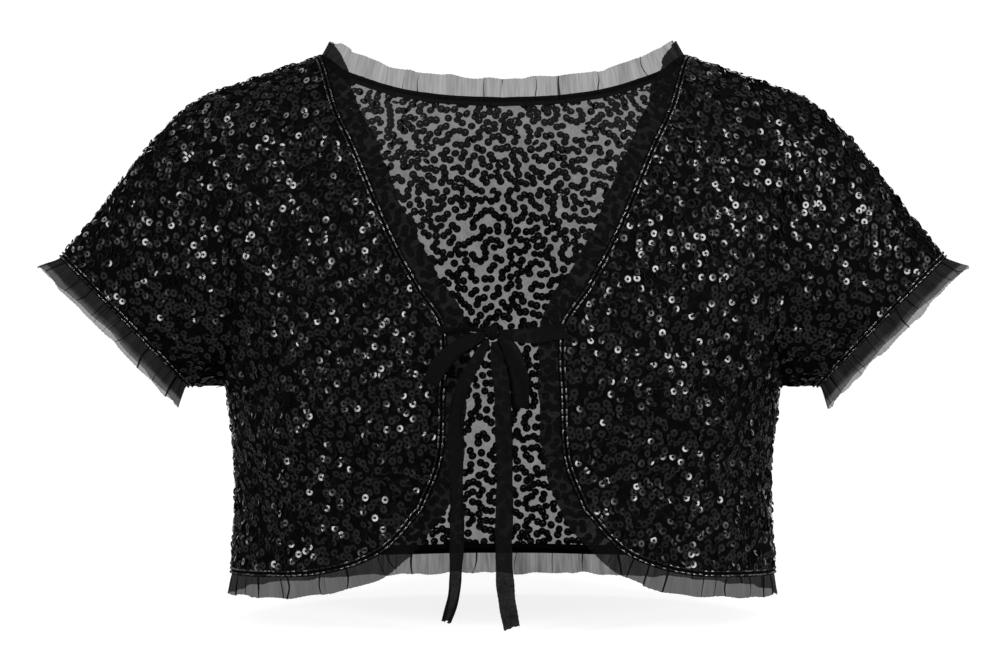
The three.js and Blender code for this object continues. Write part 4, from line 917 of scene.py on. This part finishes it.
def ruffle_strip(name, edge, lift, kind, seed, node, material, trim=None, ways=None):
    """A gathered strip. Its places along the edge run on evenly but for the tucks, which lean and sway up
    the strip; lift gives the angle at which it stands off the cloth, and trim what is cut off its width.
    Where ways gives the ways along and out of the strip, the edge is a closed loop."""
    lengths, points, normals, flat = edge
    whole, closed = lengths[-1], ways is not None
    width, tuck_distance = RUFFLES[kind]
    rng = np.random.default_rng(seed)
    count = int(round(whole / tuck_distance))
    tucks = (np.arange(count) + rng.uniform(-TUCK_JITTER, TUCK_JITTER, count) + 0.5) * whole / count
    folds = TUCK_FOLD + TUCK_FOLD_MORE * rng.random(count) ** 2
    spreads = folds * rng.uniform(*TUCK_SPREAD, count)
    lean, sway = rng.normal(0, TUCK_LEAN, count), rng.normal(0, TUCK_SWAY, count)
    reaches = 3 * spreads + np.abs(lean) * 0.6 + np.abs(sway) * 0.6
    fine = (tucks[:, None] + np.linspace(-1, 1, TUCK_PLACES)[None] * reaches[:, None]).ravel()
    steps = np.unique(np.round(np.concatenate([np.arange(0, whole, RUFFLE_STEP), fine]), 2))
    steps = steps[(steps >= 0) & (steps < whole - 0.3)]
    if not closed:
        steps = np.append(steps, whole)
    angle = np.radians(lift(steps, whole))
    lean_off, lean_up = np.cos(angle)[:, None], np.sin(angle)[:, None]
    start = (RUFFLE_START + 0.5 * np.sin(angle))[:, None]
    wander = EDGE_WANDER * np.sin(steps / 4.7 + seed) + EDGE_WANDER * np.sin(steps / 11.3 + 2.1 * seed)
    held = 1.0 if closed else smoothstep(np.minimum(steps, whole - steps) / END_HOLD)
    grid = []
    for share in np.linspace(0, 1, RUFFLE_ROWS):
        bent = lean * (share - 0.3) + sway * np.sin(math.pi * share)
        back, layers = tuck_layers(steps, share, tucks, folds, spreads, bent)
        at = steps + back * held
        at = np.mod(at, whole) if closed else np.clip(at, 0, whole)
        root = along_frame(points, lengths, at)
        normal, off = (unit(along_frame(table, lengths, at)) for table in (normals, flat))
        if closed:
            way, out = (unit(along_frame(table, lengths, at)) for table in ways)
        else:
            way, out = off * lean_off + normal * lean_up, normal * lean_off - off * lean_up
        root = root - normal * NET_BELOW_FACE + off * start
        if share == 0:
            seat = root - off * (RUFFLE_UNDER + start) - normal * (RUFFLE_BELOW_FACE - NET_BELOW_FACE)
            grid += [seat, seat + (root - seat) * 0.8]
            continue
        reach = width + wander - (0 if trim is None else trim(at, root))
        reach = reach * share + FRAY * share**3 * np.sin(steps * 2.9) * np.sin(steps * 0.7)
        stands = (strip_wave(steps, share, seed) + layers) * held
        grid.append(root + way * reach[:, None] + out * stands[:, None])
    grid = np.array(grid)
    piece = cloth_object(name, grid, material, out if closed else out[:-1], closed)
    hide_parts(node)


def front_line(share):
    """A front's edge from the neck point down, and on along its hem to the side seam."""
    edge = front_edge(1 - np.minimum(share / EDGE_SHARE, 1))
    hem = front_hem((share - EDGE_SHARE) / (1 - EDGE_SHARE))
    return np.where((share < EDGE_SHARE)[..., None], edge, hem)


def edge_frame(line, side, sign):
    """Length, point, way out and way off the cloth along a line of its edge: the way off is the line's own
    way crossed with the way out, and level where the line ends on a seam."""
    points, normals = cloth_at(line(np.linspace(0, 1, EDGE_STEPS)), side)
    flat = unit(np.cross(unit(np.gradient(points, axis=0)), normals)) * sign
    for end in (0, -1):
        if abs(points[end, 1]) < 1:
            flat[end, 1] = 0
    return line_length(points), points, normals, unit(flat)


def turned_frame(edge, turned):
    """The same edge with its points and ways turned by 1 or by the mirror."""
    return edge[0], *(table * turned for table in edge[1:])


def whole_frame(half):
    """A line over both sides of the body from its left half, which starts at the centre line."""
    lengths = half[0]
    join = [np.concatenate([(table * mirror)[:0:-1], table]) for table in half[1:]]
    return np.concatenate([lengths[-1] - lengths[:0:-1], lengths[-1] + lengths]), *join


def front_lift(length, whole):
    """From the neck's stand at the neck point, smoothly down to lying flat."""
    return NECK_STAND + (LIE_ANGLE - NECK_STAND) * smoothstep(length / STAND_LENGTH)


def neck_lift(length, whole):
    """Highest at the centre back, easing to the fronts' stand at the shoulders."""
    return BACK_STAND + (NECK_STAND - BACK_STAND) * np.abs(2 * length / whole - 1) ** 2


def neck_trim(at, root):
    """Cut narrower towards the neck points, by a smoothstep over the depth."""
    near_seam = 1 - smoothstep(np.abs(root[:, 1]) / NECK_TRIM_DEPTH)
    return NECK_TRIM * near_seam * (root[:, 2] > CHEST_HEIGHT)


front_frame = edge_frame(front_line, FRONT, 1)
neck_frame = whole_frame(edge_frame(back_neck, BACK, 1))
hem_frame = whole_frame(edge_frame(back_hem, BACK, -1))
for hand, turned, seed in (("left", 1, 1), ("right", mirror, 5)):
    ruffle_strip(f"ruffle_{hand}_front", turned_frame(front_frame, turned), front_lift, "front", seed,
                 "ruffle_front_" + hand, front_chiffon_painted_shade, neck_trim)
ruffle_strip("ruffle_neck", neck_frame, neck_lift, "neck", 2, "ruffle_back_neck", neck_chiffon, neck_trim)
ruffle_strip("ruffle_hem", hem_frame, lambda at, whole: LIE_ANGLE + 0 * at, "hem", 3, "ruffle_back_hem",
             ruffle_chiffon)

cuff_shares = np.linspace(0, 1, EDGE_STEPS)
cuff_points = sleeve(cuff_shares, np.ones(EDGE_STEPS))
cuff_normals = sleeve_normal(cuff_shares, np.ones(EDGE_STEPS))
cuff_off = cuff_points - sleeve(cuff_shares, np.full(EDGE_STEPS, 0.93))
cuff_off = unit(cuff_off - cuff_normals * (cuff_off * cuff_normals).sum(-1, keepdims=True))
cuff_frame = (line_length(cuff_points), cuff_points, cuff_normals, cuff_off)
from_centre = cuff_points - CUFF_CENTRE
towards_end = (from_centre @ CUFF_ALONG) / CUFF_HALF_LENGTH
cuff_spread = unit(cuff_normals - ARM_WAY * (cuff_normals @ ARM_WAY)[:, None])
cuff_way = unit(ARM_WAY + cuff_spread * (CUFF_FLARE + CUFF_FLARE_ENDS * towards_end**2)[:, None])
cuff_out = unit(cuff_spread - cuff_way * (cuff_spread * cuff_way).sum(-1, keepdims=True))


def cuff_trim(at, root):
    """Cut narrower on the cuff's front and back, and more so in front."""
    front = np.interp(at, cuff_frame[0], -from_centre[:, 1] / CUFF_HALF_DEPTH)
    return CUFF_TRIM_SIDES * np.abs(front) + CUFF_TRIM_FRONT * front


for hand, turned, seed in (("left", 1, 4), ("right", mirror, 8)):
    ruffle_strip(f"ruffle_{hand}_cuff", turned_frame(cuff_frame, turned), lambda at, whole: 0 * at, "cuff",
                 seed, "ruffle_cuff_" + hand, cuff_chiffon, cuff_trim, (cuff_way * turned, cuff_out * turned))

# ---- Bugle edging: two close rows of glass tubes inside every cut edge ----
# Black glass bugles, 3.6 mm long and 1.2 mm thick, laid end to end and stitched flat in two rows that run
# side by side round the neck, the fronts, the hem and the cuffs. Some have a dulled finish.
BUGLE_LENGTH, BUGLE_RADIUS, BUGLE_PITCH = 3.6, 0.62, 4.3
BUGLE_ROWS, BUGLE_SINK = (1.2, 3.8), 0.25
BUGLE_ENDS, BUGLE_END_RUN, BUGLE_SIDES = 0.55, 0.4, 8
# the spread of each bead's place along its row, beside it, its turn and its tip
BUGLE_SHIFT, BUGLE_ASIDE, BUGLE_TURN, BUGLE_TIP = 0.12, 0.08, 0.14, 0.1
BUGLE_DULL_SHARE = 0.4

bugle_black, bugle_tree, bugle_shader = plain_material("bugle_black", (0.004, 0.004, 0.0045), 0.1, 0.8)
bugle_shader.inputs["IOR"].default_value = 1.8
cloudy_gloss(bugle_tree, bugle_shader, 240.0, 0.42, 0.58, 0.06, 0.5)
bugle_dull = plain_material("bugle_dull", (0.003, 0.003, 0.003), 0.6, 0.2)[0]


def bugles(name, edge, seed):
    """Tubes along an edge: circles of corners at the two ends and just inside them, carried by the edge's
    own way and the cloth's normal, each turned and shifted a little at random."""
    lengths, points, normals, flat = edge
    rng = np.random.default_rng(seed)
    centres, ways, outs = [], [], []
    for inside in BUGLE_ROWS:
        count = int((lengths[-1] - 2) / BUGLE_PITCH)
        at = 1 + (np.arange(count) + 0.5) * (lengths[-1] - 2) / count + rng.normal(0, BUGLE_SHIFT, count)
        before, here, after = (along_frame(points, lengths, at + step) for step in (-1, 0, 1))
        normal, off = (unit(along_frame(table, lengths, at)) for table in (normals, flat))
        centres.append(here - off * (inside + rng.normal(0, BUGLE_ASIDE, (count, 1))) - normal * BUGLE_SINK)
        ways.append(unit(after - before + off * rng.normal(0, BUGLE_TURN, (count, 1))
                         + normal * rng.normal(0, BUGLE_TIP, (count, 1))))
        outs.append(normal)
    centre, way, out = (np.concatenate(table) for table in (centres, ways, outs))
    beside_way = unit(np.cross(out, way))
    out = np.cross(way, beside_way)
    angles = (2 * math.pi * (np.arange(BUGLE_SIDES) + 0.5) / BUGLE_SIDES)[:, None]
    circle = beside_way[:, None] * np.cos(angles) + out[:, None] * np.sin(angles)
    half, inner = BUGLE_LENGTH / 2, BUGLE_LENGTH / 2 - BUGLE_END_RUN
    rings = [(-half, BUGLE_ENDS), (-inner, 1.0), (inner, 1.0), (half, BUGLE_ENDS)]
    corners = [centre[:, None] + way[:, None] * place + circle * BUGLE_RADIUS * size for place, size in rings]
    quads = ring_quads(4, BUGLE_SIDES)[:, ::-1]
    piece = joined_shapes(name, np.concatenate(corners, axis=1), quads, bugle_black, True)
    second_finish(piece, bugle_dull, np.repeat(rng.random(len(centre)) < BUGLE_DULL_SHARE, len(quads)))


for name, edge, turned, seed in (
    ("front_left", front_frame, 1, 61), ("front_right", front_frame, mirror, 62),
    ("back_neck", neck_frame, 1, 63), ("back_hem", hem_frame, 1, 64),
    ("cuff_left", cuff_frame, 1, 65), ("cuff_right", cuff_frame, mirror, 66),
):
    bugles("bugles_" + name, turned_frame(edge, turned), seed)

# ---- Ribbon: the chiffon tie, knotted in a soft bow ----
# A 12 mm chiffon ribbon is sewn to the top of each centre front edge and tied once in a bow, so that the
# loops droop and the two tails hang down past the hem. The knot is the ribbon wrapped round itself.
RIBBON_CUT = 12.0
RIBBON_COLUMNS = 17
RIBBON_STEPS = {"tie": 41, "bow": 111, "tail": 161}
RIBBON_CUP, RIBBON_FOLD, RIBBON_CREASE = 0.45, 0.5, 0.22
TORN_HOLD = 60

ribbon_chiffon = sheer_material("ribbon_chiffon", 0.0038, 0.985, 0.01, 0.0004)

# across, depth, height, width, twist in degrees
RIBBONS = {
    "tie_string_left": [
        (39.5, -110.9, -170, 9, 0), (32, -112.4, -171, 9.5, 0), (20, -114.6, -172.5, 10, 8),
        (8, -115.8, -172.5, 8, 14), (-2.6, -116.3, -171, 4, 10),
    ],
    "tie_string_right": [
        (-40, -110.9, -170, 6, 0), (-34, -112.5, -169.5, 5, 25), (-24, -114.4, -168.6, 4, 55),
        (-16, -115.8, -169, 3.5, 40), (-11.4, -116.3, -170, 3.5, 20),
    ],
    "bow_loop_right": [
        (-11.2, -117.4, -172, 4, 0), (-18, -119.3, -174.6, 8, 4), (-28, -120.6, -179.6, 9.5, 6),
        (-37.5, -120.8, -189, 10, 4), (-43.5, -119.6, -199.5, 10, 0), (-44.8, -117.9, -202.6, 10, 0),
        (-43.2, -116.6, -199, 10, 0), (-36.8, -116.4, -189, 10, -3), (-27, -116.6, -181, 9, -4),
        (-17.4, -116.2, -176, 7, -3), (-10.6, -115.7, -174.2, 3.6, 0),
    ],
    "bow_loop_left": [
        (-2.6, -117.6, -172.6, 4, 0), (3.2, -119.4, -179, 9, 4), (8, -120.4, -190, 11.5, 8),
        (10.6, -120.2, -203, 11.5, 6), (11.2, -119.2, -214.4, 10, 0), (11.1, -117.7, -217.4, 9.5, 0),
        (10.4, -116.5, -213.6, 10, 0), (9.4, -116.4, -203, 11, -4), (6.4, -116.8, -190, 10.5, -6),
        (1.2, -117, -180.6, 7.5, -4), (-2.9, -116.2, -175, 3.6, 0),
    ],
    "tail_right": [
        (-9.6, -118.4, -175.6, 4, 0), (-15.5, -123, -186, 7.5, 10), (-24, -123.4, -202, 8.5, 14),
        (-28.8, -119.5, -222, 8.6, 10), (-29, -117.5, -245, 8.8, -6), (-28.6, -116.8, -268, 8.6, 8),
        (-28.2, -116.2, -292, 8.8, -4), (-28.8, -115.6, -314, 8.4, 10), (-30.4, -115, -334, 7.2, 0),
        (-35, -114.4, -350, 6.2, 0),
    ],
    "tail_left": [
        (-5.4, -118.6, -176.2, 4, 0), (-3.6, -123, -187, 8, -8), (-1, -123.6, -202, 10, -12),
        (0.2, -121.6, -222, 10.6, 8), (0.8, -119.4, -245, 10.4, 14), (1, -118, -268, 10.6, 0),
        (0.6, -117, -292, 10.8, -12), (0.8, -116.2, -316, 10.6, 6), (2.4, -115.6, -336, 10.8, 0),
        (5.6, -115, -354, 11, 0),
    ],
}


def ribbon(node, seed):
    """A ribbon down the middle of its table's rows. Across it, a place is half its width there times the
    sine of a quarter turn for each layer, so that a narrow stretch is the full cut gathered in folds, with
    the folds set apart in depth; soft creases run along it and its edges waver, by sines whose lengths in
    mm share no common measure. Where it lies edge on, the way across is that of the step before."""
    rows = np.array(RIBBONS[node], float)
    steps = RIBBON_STEPS[node.split("_")[0]]
    knots = line_length(rows[:, :3])
    at = np.linspace(0, knots[-1], steps)

    def column(number, places):
        """A column of the table, smoothed over the length."""
        return smooth_value(knots, rows[:, number], places)

    centre, before, after = (
        np.stack([column(axis, np.clip(at + shift, 0, knots[-1])) for axis in range(3)], axis=-1)
        for shift in (0, -0.5, 0.5)
    )
    way = unit(after - before)
    side_way = np.cross(way, np.array([0.0, -1.0, 0.0]))
    weak = np.linalg.norm(side_way, axis=-1) < 0.2
    side_way = side_way[np.maximum.accumulate(np.where(weak, 0, np.arange(steps)))]
    turned_over = (side_way[1:] * side_way[:-1]).sum(-1) < 0
    side_way[1:] *= np.cumprod(np.where(turned_over, -1, 1))[:, None]
    side_way = unit(side_way)
    twist = np.radians(column(4, at))[:, None]
    side_way = side_way * np.cos(twist) + np.cross(way, side_way) * np.sin(twist)
    thick = unit(np.cross(way, side_way))
    width = column(3, at)[:, None]
    at = at[:, None]
    layers = np.maximum(RIBBON_CUT * 0.97 / width, 1.0)
    place = np.linspace(-1, 1, RIBBON_COLUMNS)[None]
    across = width / 2 * np.sin(QUARTER * layers * place) / np.sin(QUARTER * np.minimum(layers, 1))
    wobble = np.sin(at / 13 + seed) * 0.35 + np.sin(at / 5.3 + 2 * seed) * 0.15
    gathered = smoothstep((layers - 1) / 1.2)
    depth = (RIBBON_CUP * gathered * place
             + RIBBON_FOLD * np.cos(QUARTER * 2.2 * (place + 0.4 * wobble)) * (0.4 + wobble)
             + RIBBON_CREASE * np.sin(7 * place + at / 9 + seed) * (1 - 0.5 * gathered))
    waver = 0.045 * np.sin(at / 7.1 + 3 * seed) + 0.03 * np.sin(at / 2.9 + seed)
    across = across * (1 + waver) + 0.12 * np.sin(at * 1.9 + 3 * place) * np.abs(place) ** 6
    grid = centre[:, None] + side_way[:, None] * across[..., None] + thick[:, None] * depth[..., None]
    if node.startswith("tail"):
        torn = 0.6 * np.sin(3.1 * place + seed) + 0.3 * np.sin(13 * place) - 0.5
        grid += way[:, None] * (torn * (at / knots[-1]) ** TORN_HOLD)[..., None]
    piece = cloth_object("ribbon_" + node, grid, ribbon_chiffon, FORWARDS)
    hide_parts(node)


for seed, node in enumerate(RIBBONS):
    ribbon(node, seed + 1)

KNOT_CENTRE, KNOT_HALF = np.array([-7.0, -116.5, -170.5]), np.array([4.2, 3.2, 4.6])
KNOT_PLEATS, KNOT_PLEAT_DEPTH, KNOT_OPEN = 3.5, 0.13, 0.72
KNOT_ROWS, KNOT_ROUND = 41, 60
turns, spans = np.meshgrid(2 * math.pi * np.arange(KNOT_ROUND) / KNOT_ROUND, np.linspace(-1, 1, KNOT_ROWS))
pleats = KNOT_PLEAT_DEPTH * np.sin(KNOT_PLEATS * math.pi * spans + 0.8 * np.sin(turns + 0.5) + 0.4)
waist = np.cos(QUARTER * KNOT_OPEN * spans) ** 0.6
bulge = waist * (1 + pleats * (1 + 0.3 * np.sin(2 * turns)))
knot_grid = KNOT_CENTRE + KNOT_HALF * np.stack(
    [np.sin(QUARTER * KNOT_OPEN * spans), np.cos(turns) * bulge, np.sin(turns) * bulge], axis=-1
)
knot_out = knot_grid[KNOT_ROWS // 2] - KNOT_CENTRE
knot_piece = cloth_object("ribbon_knot", knot_grid, ribbon_chiffon, knot_out, closed=True)
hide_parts("tie_knot")
